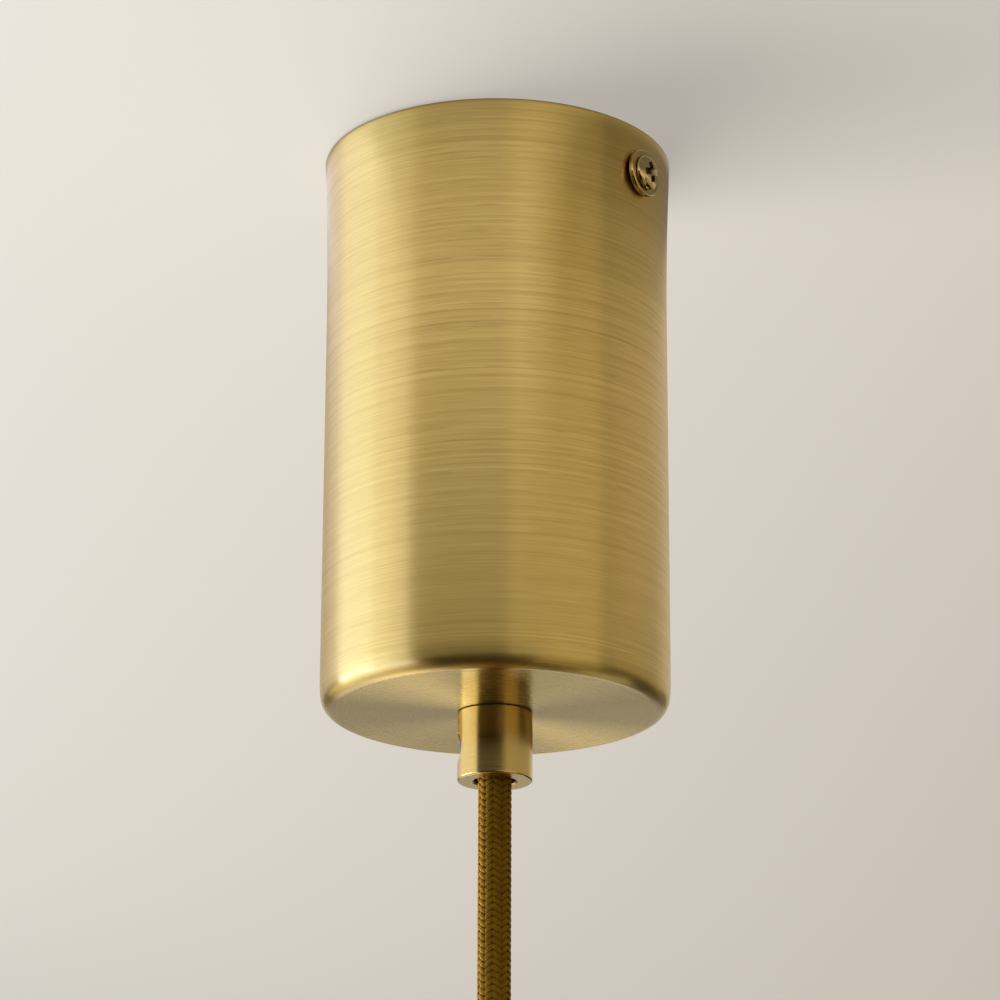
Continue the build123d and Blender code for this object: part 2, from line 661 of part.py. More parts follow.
with BuildPart() as socket_body:
    with BuildSketch(Plane.XY.offset(SOCKET_BOTTOM)):
        Circle(SOCKET_R)
    extrude(amount=CAP_BOTTOM - SOCKET_BOTTOM)
    with BuildSketch(Plane.XY.offset(SOCKET_BOTTOM)):
        Circle(CAVITY_R)
    extrude(amount=CAVITY_TOP - SOCKET_BOTTOM, mode=Mode.SUBTRACT)
    with BuildSketch(Plane.XY.offset(CAP_BOTTOM - 4.2)):
        with Locations((-9.0, -0.7), (9.0, -0.7)):
            Circle(TAPPED_R)
    extrude(amount=4.2, mode=Mode.SUBTRACT)
socket_body.part.label = "socket_body"
export_step(socket_body.part, "parts/socket_body.step")

with BuildPart() as screw_shell:
    with BuildSketch(Plane.XY.offset(SHELL_BOTTOM)):
        Circle(SHELL_R)
        Circle(SHELL_BORE_R, mode=Mode.SUBTRACT)
    extrude(amount=SHELL_TOP - SHELL_BOTTOM)
screw_shell.part.label = "screw_shell"
export_step(screw_shell.part, "parts/screw_shell.step")

with BuildPart() as socket_terminals:
    with BuildSketch(Plane.XY.offset(CAP_BOTTOM)):
        with Locations((-9.0, -0.7), (9.0, -0.7)):
            Circle(2.5)
    extrude(amount=1.8)
    with BuildSketch(Plane.XY.offset(CAP_BOTTOM - 4.0)):
        with Locations((-9.0, -0.7), (9.0, -0.7)):
            Circle(SCREW_R)
    extrude(amount=4.0)
    with BuildSketch(Plane.XY.offset(CAP_BOTTOM + 1.1)):
        with Locations((-9.0, -0.7), (9.0, -0.7)):
            Rectangle(6.0, 0.7)
    extrude(amount=0.7, mode=Mode.SUBTRACT)
socket_terminals.part.label = "socket_terminals"
export_step(socket_terminals.part, "parts/socket_terminals.step")

with BuildPart() as contact_rivet:
    with BuildSketch(Plane.XY.offset(CAVITY_TOP - 0.9)):
        with Locations((9.2, 0)):
            Circle(2.1)
    extrude(amount=0.9)
contact_rivet.part.label = "contact_rivet"
export_step(contact_rivet.part, "parts/contact_rivet.step")

with BuildPart() as centre_contact:
    with BuildSketch(Plane.XZ):
        with BuildLine():
            Polyline(
                (6.8, CAVITY_TOP - 0.25),
                (6.8, CAVITY_TOP - 0.75),
                (-1.6, CAVITY_TOP - 2.95),
                (-1.6, CAVITY_TOP - 2.45),
                close=True,
            )
        make_face()
    extrude(amount=2.5, both=True)
centre_contact.part.label = "centre_contact"
export_step(centre_contact.part, "parts/centre_contact.step")
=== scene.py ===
"""Pendant light: a brushed brass cup under the ceiling, cord grip, braided cord and lampholder.

Lengths are metres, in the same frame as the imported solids: the ceiling is the plane z = 0.
"""

import math

import bmesh
import bpy
from bpy.props import FloatProperty, FloatVectorProperty, IntProperty, PointerProperty
from mathutils import Matrix, Vector


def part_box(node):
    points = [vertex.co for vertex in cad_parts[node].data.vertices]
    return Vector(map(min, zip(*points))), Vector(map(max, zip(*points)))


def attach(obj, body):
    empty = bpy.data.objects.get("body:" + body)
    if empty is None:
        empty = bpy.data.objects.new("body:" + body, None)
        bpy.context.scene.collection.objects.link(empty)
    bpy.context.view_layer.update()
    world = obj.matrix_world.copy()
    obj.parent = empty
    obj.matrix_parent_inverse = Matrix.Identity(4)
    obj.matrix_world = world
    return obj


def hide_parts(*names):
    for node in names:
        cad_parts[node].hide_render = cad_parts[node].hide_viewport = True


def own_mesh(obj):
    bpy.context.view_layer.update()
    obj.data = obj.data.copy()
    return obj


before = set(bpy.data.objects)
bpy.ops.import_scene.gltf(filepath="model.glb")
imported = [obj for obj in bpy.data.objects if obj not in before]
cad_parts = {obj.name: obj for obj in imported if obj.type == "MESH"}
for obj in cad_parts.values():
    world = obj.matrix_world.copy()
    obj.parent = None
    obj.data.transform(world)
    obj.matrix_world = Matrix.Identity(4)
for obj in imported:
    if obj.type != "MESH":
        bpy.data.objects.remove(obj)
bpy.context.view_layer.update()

bl_info = {
    "name": "Pendant Light",
    "version": (1, 0, 0),
    "blender": (4, 5, 0),
    "location": "View3D > Sidebar > Pendant",
    "description": "Builds a brass pendant light around its packed solids",
    "category": "Add Mesh",
}

MM = 0.001
CUP_LOW, CUP_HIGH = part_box("canopy_cup")
COVER_LOW, COVER_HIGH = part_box("holder_cover")
GRIP_LOW, GRIP_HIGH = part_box("cord_grip")
HOLDER_GRIP_LOW, HOLDER_GRIP_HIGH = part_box("holder_grip")
WASHER_LOW, WASHER_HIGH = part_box("side_washer_right")
SHELL_LOW, SHELL_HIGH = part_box("screw_shell")
CORD_END_LOW, CORD_END_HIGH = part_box("holder_cord_end")
TAIL_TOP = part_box("cord_tail")[1].z


def length(name, description, default):
    """A length in metres that shows in the sidebar."""
    return FloatProperty(
        name=name, description=description, default=default, min=0.0, precision=5, unit="LENGTH",
    )


def angle(name, description, degrees):
    """An angle, stated in degrees."""
    return FloatProperty(
        name=name, description=description, default=math.radians(degrees), subtype="ANGLE",
    )


def share(name, description, default):
    """A number from 0 to 1."""
    return FloatProperty(
        name=name, description=description, default=default, min=0.0, max=1.0, subtype="FACTOR",
    )


def number(name, description, default, unit="NONE"):
    """A plain number, such as a brightness."""
    return FloatProperty(name=name, description=description, default=default, unit=unit)


def colour(name, description, default, most=1.0):
    """A linear colour."""
    return FloatVectorProperty(
        name=name, description=description, default=default, size=3, min=0.0, max=most, subtype="COLOR",
    )


class PendantCup(bpy.types.PropertyGroup):
    """Sizes of the drawn cup and of the lampholder's cover."""

    radius: length("Radius", "Outer radius of the cup's straight wall", 29.75 * MM)
    rim_radius: length("Rim radius", "Outer radius at the ceiling", CUP_HIGH.x)
    height: length("Height", "From the ceiling to the base", -CUP_LOW.z)
    flare: length("Flare", "Height over which the wall opens to the rim", 30.0 * MM)
    wall: length("Wall", "Thickness of the sheet", 0.8 * MM)
    fillet: length("Base fillet", "Outer radius between the wall and the base", 2.8 * MM)
    ease: length("Ease", "How far the wall leans in above the fillet", 0.21 * MM)
    ease_rise: length("Ease rise", "Height over which the wall leans in", 2.7 * MM)
    cord_hole: length("Cord hole", "Radius of the hole in the base", 5.1 * MM)
    screw_hole: length("Screw hole", "Radius of the side holes", 1.8 * MM)
    # Painted shade: a dark line painted along the rim's top, where the gap at the ceiling lies in shade.
    rim_line: length("Rim line", "Height of the darkened line at the ceiling", 0.2 * MM)
    rim_shade: share("Rim dirt", "How darkened that line is", 0.5)
    cover_radius: length("Cover radius", "Outer radius of the lampholder's cover", COVER_HIGH.x)


class PendantGrip(bpy.types.PropertyGroup):
    """Sizes of the turned cord grip, which the lampholder repeats the other way up."""

    radius: length("Radius", "Outer radius of the body", 6.35 * MM)
    height: length("Height", "Height of the body", 11.9 * MM)
    bore: length("Bore", "Radius of the cord bore", 3.55 * MM)
    edge: length("Edge", "Radius of the mouth's outer edge", 0.35 * MM)
    spigot: length("Spigot", "Major radius of the thread", 4.95 * MM)
    pitch: length("Pitch", "Pitch of the spigot's thread", 1.0 * MM)
    hole: length("Side hole", "Radius of the set screw's hole", 2.55 * MM)
    mouth: length("Hole mouth", "Radius of the hole's countersunk mouth", 2.85 * MM)
    mouth_at: length("Mouth depth", "Distance from the axis where the mouth starts", 5.35 * MM)
    screw_drop: length("Screw drop", "From the base to the side hole's axis", 6.2 * MM)
    screw_bearing: angle("Screw bearing", "Direction of the side hole, from +X", 215.0)
    screw_radius: length("Screw radius", "Major radius of the set screw", 2.5 * MM)
    screw_tip: length("Screw tip", "Distance from the axis to the set screw's tip", 2.9 * MM)
    screw_end: length("Screw end", "Distance from the axis to the set screw's slotted end", 5.9 * MM)


class PendantFixing(bpy.types.PropertyGroup):
    """Sizes of the side screws and their washers."""

    drop: length("Drop", "From the ceiling to the screws' axis", 8.3 * MM)
    shank: length("Shank", "Major radius of the thread", 1.5 * MM)
    shank_length: length("Shank length", "Length under the head", 8.0 * MM)
    head: length("Head", "Radius of the pan head", 3.05 * MM)
    head_height: length("Head height", "Height of the pan head", 1.3 * MM)
    washer: length("Washer", "Outer radius of the washer", 4.15 * MM)
    recess: length("Recess", "Span of the cross recess", 4.8 * MM)
    recess_depth: length("Recess depth", "Depth of the cross recess", 1.02 * MM)
    recess_turn: angle("Recess turn", "How far the cross is turned", 14.0)


class PendantCord(bpy.types.PropertyGroup):
    """Sizes of the braided cord."""

    radius: length("Radius", "Outer radius over the braid", 2.85 * MM)
    carriers: IntProperty(
        name="Carriers", description="Yarns that wind each way",
        default=12, min=4, max=32, subtype="UNSIGNED",
    )
    lay: length("Lay", "Length of cord in which a yarn goes round once", 13.7 * MM)
    yarn_width: length("Yarn width", "Width of one flat yarn", 0.98 * MM)
    yarn_thickness: length("Yarn thickness", "Thickness of one flat yarn", 0.34 * MM)
    weave: length("Weave", "Rise of a yarn over the yarns that it crosses", 0.16 * MM)
    mouth: length("Mouth", "Depth of the grip's mouth below the ceiling", -GRIP_LOW.z)
    lamp: length("Lamp", "Depth of the lampholder's grip below the ceiling", -HOLDER_GRIP_HIGH.z)
    inside: length("Inside", "Length that runs on into each grip", 1.2 * MM)


class PendantFinish(bpy.types.PropertyGroup):
    """Colours and textures."""

    brass: colour("Brass", "Colour of the brushed brass", (0.845, 0.597, 0.168))
    brass_dark: colour("Brass streaks", "Colour in the deeper brush marks", (0.702, 0.477, 0.118))
    brass_roughness: share("Brass roughness", "Blur of the brushed brass", 0.355)
    brush_share: share("Brush direction", "How much more the brass blurs across the brush marks", 0.94)
    disc_roughness: share("Disc roughness", "Blur of the flat discs, which mirror the grips", 0.27)
    disc_marks: share("Disc marks", "Share of the brush marks that the flat discs show", 0.25)
    turned_roughness: share("Turned roughness", "Blur of the turned grips", 0.215)
    turned_share: share("Turned direction", "How much more the grips blur across the turning marks", 0.1)
    turned_marks: share("Turned marks", "Share of the brush marks that the grips show", 0.3)
    lacquer: share("Lacquer", "Share of the clear lacquer over the brass", 0.4)
    screw_brass: colour("Screw brass", "Colour of the plated screws and washers", (0.76, 0.57, 0.23))
    # Painted shade: the near-black colour painted into the rim line and the grips' seams, where shade falls.
    painted_shade: colour("Grime", "Colour of the dirt in the brass's seams", (0.02, 0.010, 0.002))
    yarn: colour("Yarn", "Colour of the braid", (0.155, 0.074, 0.003))
    yarn_light: colour("Yarn light", "Colour of the paler filaments", (0.36, 0.196, 0.010))
    ceiling: colour("Ceiling", "Colour of the ceiling paint", (0.36, 0.34, 0.312))
    glow_colour: colour("Glow colour", "Colour of the ceiling's glow to the left", (0.99, 1.0, 0.968))
    glow_right: colour("Glow right", "Colour of the ceiling's glow to the right", (1.0, 0.898, 0.789))
    glow: number("Glow", "Glow of the ceiling at the pendant", 0.434)
    glow_aside: number("Glow aside", "Change of the glow per metre to the right", -0.57)
    glow_away: number("Glow away", "Change of the glow per metre away", -0.49)
    glow_twist: number("Glow twist", "Change of the aside slope per metre away", 0.85)
    glow_curve: number("Glow curve", "Change of the away slope per metre away", 0.31)
    glow_least: number("Glow least", "Glow that the far ceiling doesn't go below", 0.22)
    glow_most: number("Glow most", "Glow that the far ceiling doesn't go above", 0.56)


class PendantStage(bpy.types.PropertyGroup):
    """Camera, paint and lamps."""

    camera_distance: length("Camera distance", "Level distance from the pendant's axis", 613.94 * MM)
    camera_drop: length("Camera drop", "Depth of the camera below the ceiling", 270.49 * MM)
    camera_bearing: angle("Camera bearing", "Turn of the camera about the axis from -Y", 35.0)
    camera_yaw: angle("Camera yaw", "Aim to the right of the axis", 0.0633)
    camera_pitch: angle("Camera pitch", "Aim above the horizon", 18.7699)
    camera_roll: angle("Camera roll", "Turn about the line of sight", 0.2267)
    lens: number("Lens", "Focal length in millimetres on a 36 mm sensor", 135.402, "CAMERA")
    half_side: length("Half side", "Half the side of the ceiling and the floor", 6.0)
    ceiling_gap: length("Ceiling gap", "Height of the ceiling's face over the rim", 0.3 * MM)
    floor_drop: length("Floor drop", "Depth of the floor below the ceiling", 2.2)
    eye_drop: length("Eye drop", "Depth that lamps aim at and elevations are taken from", 50.0 * MM)
    panel_distance: length("Panel distance", "Level distance of the panels", 1.2)
    panel_gap: length("Panel gap", "Least distance of a panel from the ceiling", 2.0 * MM)
    window_bearing: angle("Window bearing", "Direction of the shadow's lamp from the camera's side", -139.0)
    window_distance: length("Window distance", "Level distance of the shadow's lamp", 0.80)
    window_drop: length("Window drop", "Depth of the shadow's lamp below the ceiling", 1.04)
    window_width: length("Window width", "Width of the shadow's lamp", 1.2)
    window_height: length("Window height", "Height of the shadow's lamp", 0.85)
    window_light: number("Window light", "Brightness of the shadow's lamp", 5.3)
    cord_light: colour(
        "Cord light", "Light of the side lamp that only the cord sees", (12.5, 10.6, 7.0), most=100.0,
    )
    room_light: number("Room light", "Brightness of the dim room", 0.10)


class PendantSettings(bpy.types.PropertyGroup):
    """All of the pendant's values."""

    cup: PointerProperty(type=PendantCup, name="Cup", description="Cup and cover")
    grip: PointerProperty(type=PendantGrip, name="Grip", description="Cord grips")
    fixing: PointerProperty(type=PendantFixing, name="Fixing", description="Side screws")
    cord: PointerProperty(type=PendantCord, name="Cord", description="Braided cord")
    finish: PointerProperty(type=PendantFinish, name="Finish", description="Colours and textures")
    stage: PointerProperty(type=PendantStage, name="Stage", description="Camera, paint and lamps")


class Graph:
    """A short way to add and link the nodes of a material, a world or a geometry tree."""

    def __init__(self, tree):
        self.tree = tree

    def add(self, kind, inputs=None, **settings):
        """A node with its settings and its inputs."""
        node = self.tree.nodes.new(kind)
        for key, value in settings.items():
            setattr(node, key, value)
        self.fill(node, inputs or {})
        return node

    def fill(self, node, inputs):
        """Links or sets a node's inputs, by index or name."""
        for key, value in inputs.items():
            self.put(node.inputs[key], value)

    def put(self, socket, value):
        """Links a socket to another or to a node's first output, or sets its value."""
        if isinstance(value, bpy.types.Node):
            value = next(out for out in value.outputs if out.enabled)
        if isinstance(value, bpy.types.NodeSocket):
            self.tree.links.new(value, socket)
        else:
            socket.default_value = value

    def math(self, operation, a, b=0.0, c=0.0):
        """One sum on numbers."""
        return self.add("ShaderNodeMath", {0: a, 1: b, 2: c}, operation=operation).outputs[0]

    def times(self, a, b):
        """Two numbers multiplied."""
        return self.math("MULTIPLY", a, b)

    def times_plus(self, a, b, c):
        """Two numbers multiplied, and a third added."""
        return self.math("MULTIPLY_ADD", a, b, c)

    def vector(self, operation, a, b=(0.0, 0.0, 0.0)):
        """One sum on vectors."""
        node = self.add("ShaderNodeVectorMath", {0: a, 1: b}, operation=operation)
        return node.outputs["Value" if operation == "LENGTH" else "Vector"]

    def scaled(self, vector, factor):
        """A vector times a number."""
        node = self.add("ShaderNodeVectorMath", {0: vector, "Scale": factor}, operation="SCALE")
        return node.outputs["Vector"]

    def parts(self, vector):
        """The X, Y and Z of a vector."""
        return self.add("ShaderNodeSeparateXYZ", {0: vector}).outputs

    def xyz(self, x=0.0, y=0.0, z=0.0):
        """A vector from its X, Y and Z."""
        return self.add("ShaderNodeCombineXYZ", {"X": x, "Y": y, "Z": z}).outputs[0]

    def noise(self, vector, scale=1.0, detail=2.0, roughness=0.5):
        """Smooth noise from 0 to 1."""
        inputs = {"Vector": vector, "Scale": scale, "Detail": detail, "Roughness": roughness}
        return self.add("ShaderNodeTexNoise", inputs).outputs[0]

    def ramp(self, value, low, high, out_low, out_high):
        """A value brought from one range to another."""
        inputs = {"Value": value, "From Min": low, "From Max": high, "To Min": out_low, "To Max": out_high}
        return self.add("ShaderNodeMapRange", inputs).outputs["Result"]

    def mix(self, factor, a, b):
        """A blend of two colours."""
        ends = [(*value, 1.0) if isinstance(value, tuple) else value for value in (a, b)]
        inputs = {0: factor, 6: ends[0], 7: ends[1]}
        return self.add("ShaderNodeMix", inputs, data_type="RGBA").outputs[2]

    def profile(self, value, stops):
        """A number read off a line through (place from 0 to 1, number from 0 to 1) stops."""
        node = self.add("ShaderNodeValToRGB", {"Fac": value})
        places = node.color_ramp.elements
        while len(places) < len(stops):
            places.new(0.5)
        for item, (place, height) in zip(places, stops):
            item.position = place
            item.color = (height, height, height, 1.0)
        return node.outputs["Color"]

    def bump(self, height, distance, strength):
        """A surface normal with fine relief, its depth in metres."""
        return self.add("ShaderNodeBump", {"Strength": strength, "Distance": distance, "Height": height})

    def carried(self, name):
        """A number that the mesh's points carry, for a material."""
        return self.add("ShaderNodeAttribute", attribute_name=name).outputs["Fac"]

    def store(self, geometry, name, value):
        """Geometry whose points carry a number."""
        inputs = {"Geometry": geometry, "Name": name, "Value": value}
        return self.add("GeometryNodeStoreNamedAttribute", inputs, data_type="FLOAT", domain="POINT")


def new_material(name):
    """A new node material, as its graph, its surface shader and the object's coordinates."""
    made = bpy.data.materials.new(name + "_finish")
    made.use_nodes = True
    graph = Graph(made.node_tree)
    place = graph.add("ShaderNodeTexCoord").outputs["Object"]
    return graph, made.node_tree.nodes["Principled BSDF"], place


def material(name):
    """A finish by name."""
    return bpy.data.materials[name + "_finish"]


def brushed_brass(name, finish, rough, brush, depth):
    """Lacquered brass, brushed or turned round the pendant's axis; depth is the brush marks' share."""
    graph, shader, place = new_material(name)
    flat = graph.vector("MULTIPLY", place, (1.0, 1.0, 0.0))
    across = graph.math("ADD", graph.parts(place)["Z"], graph.vector("LENGTH", flat))

    def streaks(along, count, detail):
        """Straight brush marks that fade into others along their length, both scales per metre."""
        rows = graph.times(across, count)
        one = graph.noise(graph.xyz(z=rows), detail=detail, roughness=0.6)
        other = graph.noise(graph.xyz(x=31.7, z=rows), detail=detail, roughness=0.6)
        lift = graph.xyz(z=graph.times(rows, 0.4))
        patch = graph.noise(graph.vector("ADD", graph.scaled(flat, along), lift), detail=1.0)
        change = graph.ramp(patch, 0.43, 0.57, 0.0, 1.0)
        return graph.times_plus(change, graph.math("SUBTRACT", one, other), other)

    fine = streaks(150.0, 3400.0, 2.0)
    middle = streaks(55.0, 1250.0, 2.0)
    broad = streaks(22.0, 420.0, 2.0)
    scratch = graph.ramp(streaks(12.0, 2300.0, 1.0), 0.66, 0.76, 0.0, 0.16 * depth)
    marks = graph.times_plus(middle, 0.46, graph.times(fine, 0.62))
    marks = graph.math("SUBTRACT", graph.times_plus(broad, 0.12, marks), scratch)

    normal = graph.add("ShaderNodeNewGeometry").outputs["Normal"]
    level = graph.math("ABSOLUTE", graph.parts(normal)["Z"])
    disc_starts, disc_full = 0.90, 0.995
    calm = graph.ramp(level, disc_starts, disc_full, 1.0, finish.disc_marks)
    blur = graph.ramp(level, disc_starts, disc_full, rough, finish.disc_roughness)

    tone = graph.times_plus(graph.ramp(marks, 0.45, 0.71, -0.5 * depth, 0.5 * depth), calm, 0.5)
    paint = graph.mix(tone, tuple(finish.brass_dark), tuple(finish.brass))
    cloud = graph.ramp(graph.noise(place, 60.0, 3.0), 0.3, 0.7, 0.0, 0.10)
    paint = graph.mix(cloud, paint, tuple(finish.brass_dark))
    around = graph.add(
        "ShaderNodeVectorTransform", {0: graph.vector("CROSS_PRODUCT", (0.0, 0.0, 1.0), flat)},
        vector_type="VECTOR", convert_from="OBJECT", convert_to="WORLD",
    )
    graph.fill(shader, {
        # Painted shade: the points' carried share blends the brass towards the painted-shade colour in the
        # rim line and the grips' seams.
        "Base Color": graph.mix(graph.carried("painted_shade"), paint, tuple(finish.painted_shade)),
        "Roughness": graph.times_plus(graph.ramp(marks, 0.42, 0.76, 0.045, -0.045), calm, blur),
        "Normal": graph.bump(graph.times(marks, calm), 0.012 * MM * depth, 0.6),
        "Tangent": graph.vector("NORMALIZE", graph.vector("CROSS_PRODUCT", around, normal)),
        "Metallic": 1.0,
        "Anisotropic": brush,
        "Coat Weight": finish.lacquer,
        "Coat Roughness": 0.16,
    })


def plated_brass(finish):
    """Bright plated brass of small turned screws and washers."""
    graph, shader, place = new_material("plated_brass")
    dents = graph.noise(place, 900.0, 2.0)
    grain = graph.noise(place, 4200.0, 2.0)
    # Painted shade: the carried share darkens the colour deeper in the cross recess, where shade falls, and
    # makes it rougher there.
    painted_shade = graph.carried("painted_shade")
    deep = tuple(0.62 * value for value in finish.screw_brass)
    skin = graph.mix(graph.ramp(dents, 0.35, 0.65, 0.0, 0.55), tuple(finish.screw_brass), deep)
    graph.fill(shader, {
        "Base Color": graph.mix(graph.times(painted_shade, 0.93), skin, (0.05, 0.028, 0.008)),
        "Roughness": graph.times_plus(painted_shade, 0.3, graph.ramp(grain, 0.3, 0.7, 0.11, 0.19)),
        "Normal": graph.bump(dents, 0.03 * MM, 0.4),
        "Metallic": 1.0,
    })


def plain_metal(name, pale, deep, smooth, rough, grain_size):
    """Sheet or bar metal with a mottled skin."""
    graph, shader, place = new_material(name)
    mottle = graph.noise(place, 1.0 / grain_size, 3.0, 0.6)
    fine = graph.noise(place, 9.0 / grain_size, 2.0)
    graph.fill(shader, {
        "Base Color": graph.mix(graph.ramp(mottle, 0.35, 0.65, 0.0, 1.0), pale, deep),
        "Roughness": graph.ramp(fine, 0.3, 0.7, smooth, rough),
        "Normal": graph.bump(fine, 0.01 * MM, 0.4),
        "Metallic": 1.0,
    })


def moulded_plastic(name, pale, deep, smooth, rough, under=0.0):
    """Moulded plastic with flow marks and a finely eroded skin; under is the share of light let in."""
    graph, shader, place = new_material(name)
    flow = graph.noise(place, 130.0, 3.0)
    skin = graph.noise(place, 2600.0, 2.0)
    graph.fill(shader, {
        "Base Color": graph.mix(graph.ramp(flow, 0.3, 0.7, 0.0, 1.0), pale, deep),
        "Roughness": graph.ramp(skin, 0.3, 0.7, smooth, rough),
        "Normal": graph.bump(skin, 0.02 * MM, 0.35),
        "Subsurface Weight": under,
        "Subsurface Radius": (1.2 * MM, 1.1 * MM, 1.0 * MM),
        "Subsurface Scale": 1.0,
    })


def clear_nylon():
    """Clear plastic of the set screws, with fine cloudy flow lines."""
    graph, shader, place = new_material("clear_nylon")
    haze = graph.noise(place, 1500.0, 2.0)
    graph.fill(shader, {
        "Base Color": graph.mix(haze, (0.90, 0.89, 0.86), (0.97, 0.96, 0.94)),
        "Roughness": graph.ramp(haze, 0.3, 0.7, 0.10, 0.34),
        "Normal": graph.bump(haze, 0.03 * MM, 0.5),
        "Transmission Weight": 0.72,
        "IOR": 1.53,
    })


def braid_yarn(finish):
    """Ochre braid: filaments run along each yarn, and yarns differ a little."""
    graph, shader, place = new_material("braid_yarn")
    across = graph.carried("across")
    lanes = graph.xyz(
        graph.times(across, 26.0),
        graph.times(graph.carried("along"), 160.0),
        graph.times(graph.carried("yarn"), 7.3),
    )
    filaments = graph.noise(lanes, 1.0, 2.0, 0.6)
    dye = graph.noise(place, 420.0, 3.0)
    tone = graph.times_plus(filaments, 0.75, graph.times(dye, 0.25))
    paint = graph.mix(graph.ramp(tone, 0.34, 0.66, 0.0, 1.0), tuple(finish.yarn), tuple(finish.yarn_light))
    # Painted shade: each yarn darkens towards its edges, where the yarns meet and shade falls between them.
    edge = graph.ramp(graph.math("ABSOLUTE", across), 0.30, 0.50, 0.0, 0.5)
    graph.fill(shader, {
        "Base Color": graph.mix(edge, paint, (0.035, 0.016, 0.001)),
        "Roughness": graph.ramp(filaments, 0.3, 0.7, 0.62, 0.46),
        "Normal": graph.bump(filaments, 0.05 * MM, 0.7),
        "Specular IOR Level": 0.04,
        "Sheen Weight": 0.01,
        "Sheen Roughness": 0.4,
        "Sheen Tint": (1.0, 0.83, 0.5, 1.0),
    })


# What the brass mirrors of the ceiling, by its distance from the axis: stops of (share of the reach,
# brightness). Within the plain radius, which is about the cup's own, the ceiling is an even grey.
MIRROR_REACH = 0.8
MIRROR_PLAIN = 32.0 * MM
MIRRORED_FRONT = (
    (0.06, 0.50), (0.10, 0.80), (0.15, 0.95), (0.21, 0.70), (0.30, 0.50), (0.41, 0.20), (0.52, 0.0),
)
MIRRORED_RIGHT = ((0.07, 0.15), (0.15, 0.55), (0.30, 0.45), (0.41, 0.35), (1.0, 0.20))


def mirrored_ceiling(graph, place, spot):
    """The ceiling that the brass mirrors: bright to the left, dark over the camera, dim elsewhere."""
    far = graph.vector("LENGTH", graph.vector("MULTIPLY", place, (1.0, 1.0, 0.0)))
    reach = graph.math("DIVIDE", far, MIRROR_REACH)
    bearing = graph.math("ARCTAN2", spot["X"], graph.times(spot["Y"], -1.0))

    def past(turn, start, stop):
        """From 0 to 1 between two bearings in degrees."""
        return graph.ramp(turn, math.radians(start), math.radians(stop), 0.0, 1.0)

    front = graph.vector("MULTIPLY", graph.profile(reach, MIRRORED_FRONT), (1.0, 0.98, 1.03))
    right = graph.vector("MULTIPLY", graph.profile(reach, MIRRORED_RIGHT), (1.0, 0.93, 0.86))
    light = graph.mix(past(bearing, 16.0, 38.0), front, right)
    light = graph.mix(past(bearing, -53.0, -60.0), light, (0.80, 0.81, 1.02))
    light = graph.mix(past(graph.math("ABSOLUTE", bearing), 122.0, 146.0), light, (0.50, 0.465, 0.37))
    light = graph.mix(graph.math("LESS_THAN", far, MIRROR_PLAIN), light, (0.40, 0.39, 0.37))
    return graph.add("ShaderNodeEmission", {"Color": light, "Strength": 1.25})


def ceiling_paint(finish, bearing):
    """Matt paint, seen from the room's side only, with the glow of the light that the room throws up."""
    graph, shader, place = new_material("ceiling_paint")
    pale = tuple(finish.ceiling)
    deep = tuple(0.985 * value for value in pale)
    turn = graph.add("ShaderNodeVectorRotate", {"Vector": place, "Angle": -bearing}, rotation_type="Z_AXIS")
    spot = graph.parts(turn)
    aside = spot["X"]
    away = graph.math("MAXIMUM", spot["Y"], -0.07)
    slope_aside = graph.times_plus(away, finish.glow_twist, finish.glow_aside)
    slope_away = graph.times_plus(away, finish.glow_curve, finish.glow_away)
    glow = graph.times_plus(aside, slope_aside, finish.glow)
    glow = graph.times_plus(away, slope_away, glow)
    glow = graph.math("MINIMUM", graph.math("MAXIMUM", glow, finish.glow_least), finish.glow_most)
    over_camera = graph.ramp(spot["Y"], -0.36, -0.12, 0.2, 1.0)
    to_right = graph.ramp(aside, -0.18, 0.18, 0.0, 1.0)
    graph.fill(shader, {
        "Base Color": graph.mix(graph.noise(place, 2.0, 2.0), pale, deep),
        "Normal": graph.bump(graph.noise(place, 700.0, 3.0), 0.02 * MM, 0.2),
        "Roughness": 0.95,
        "Specular IOR Level": 0.0,
        "Emission Color": graph.mix(to_right, tuple(finish.glow_colour), tuple(finish.glow_right)),
        "Emission Strength": graph.times(glow, over_camera),
    })
    mirrored = mirrored_ceiling(graph, place, spot)
    glossy = graph.add("ShaderNodeLightPath").outputs["Is Glossy Ray"]
    paint = graph.add("ShaderNodeMixShader", {0: glossy, 1: shader, 2: mirrored})
    behind = graph.add("ShaderNodeNewGeometry").outputs["Backfacing"]
    clear = graph.add("ShaderNodeBsdfTransparent")
    blend = graph.add("ShaderNodeMixShader", {0: behind, 1: paint, 2: clear})
    graph.fill(graph.tree.nodes["Material Output"], {"Surface": blend})


def floor_paint():
    """A floor that is pale to the camera and dim to the polished parts."""
    graph, shader, place = new_material("floor_paint")
    patch = graph.noise(place, 3.0, 2.0)
    graph.fill(shader, {
        "Base Color": (0.03, 0.025, 0.02, 1.0),
        "Roughness": 0.9,
        "Emission Color": graph.mix(patch, (0.805, 0.775, 0.725), (0.795, 0.765, 0.715)),
        "Emission Strength": graph.add("ShaderNodeLightPath").outputs["Is Camera Ray"],
    })


def arc(centre, radius, start, stop, steps, rise=None):
    """Points of a profile's arc, its angles in degrees from the outward direction; rise makes it oval."""
    turns = [math.radians(start + (stop - start) * i / steps) for i in range(steps + 1)]
    rise = rise or radius
    return [(centre[0] + radius * math.cos(t), centre[1] + rise * math.sin(t)) for t in turns]


def run(start, stop, steps):
    """Evenly spaced points of a straight stretch of a profile, without its first point."""
    return [tuple(a + (b - a) * i / steps for a, b in zip(start, stop)) for i in range(1, steps + 1)]


def add_object(name, mesh):
    """A mesh as an object of the scene."""
    thing = bpy.data.objects.new(name, mesh)
    bpy.context.scene.collection.objects.link(thing)
    return thing


def from_bmesh(name, shaping):
    """A finished bmesh as an object."""
    mesh = bpy.data.meshes.new(name)
    shaping.to_mesh(mesh)
    shaping.free()
    return add_object(name, mesh)


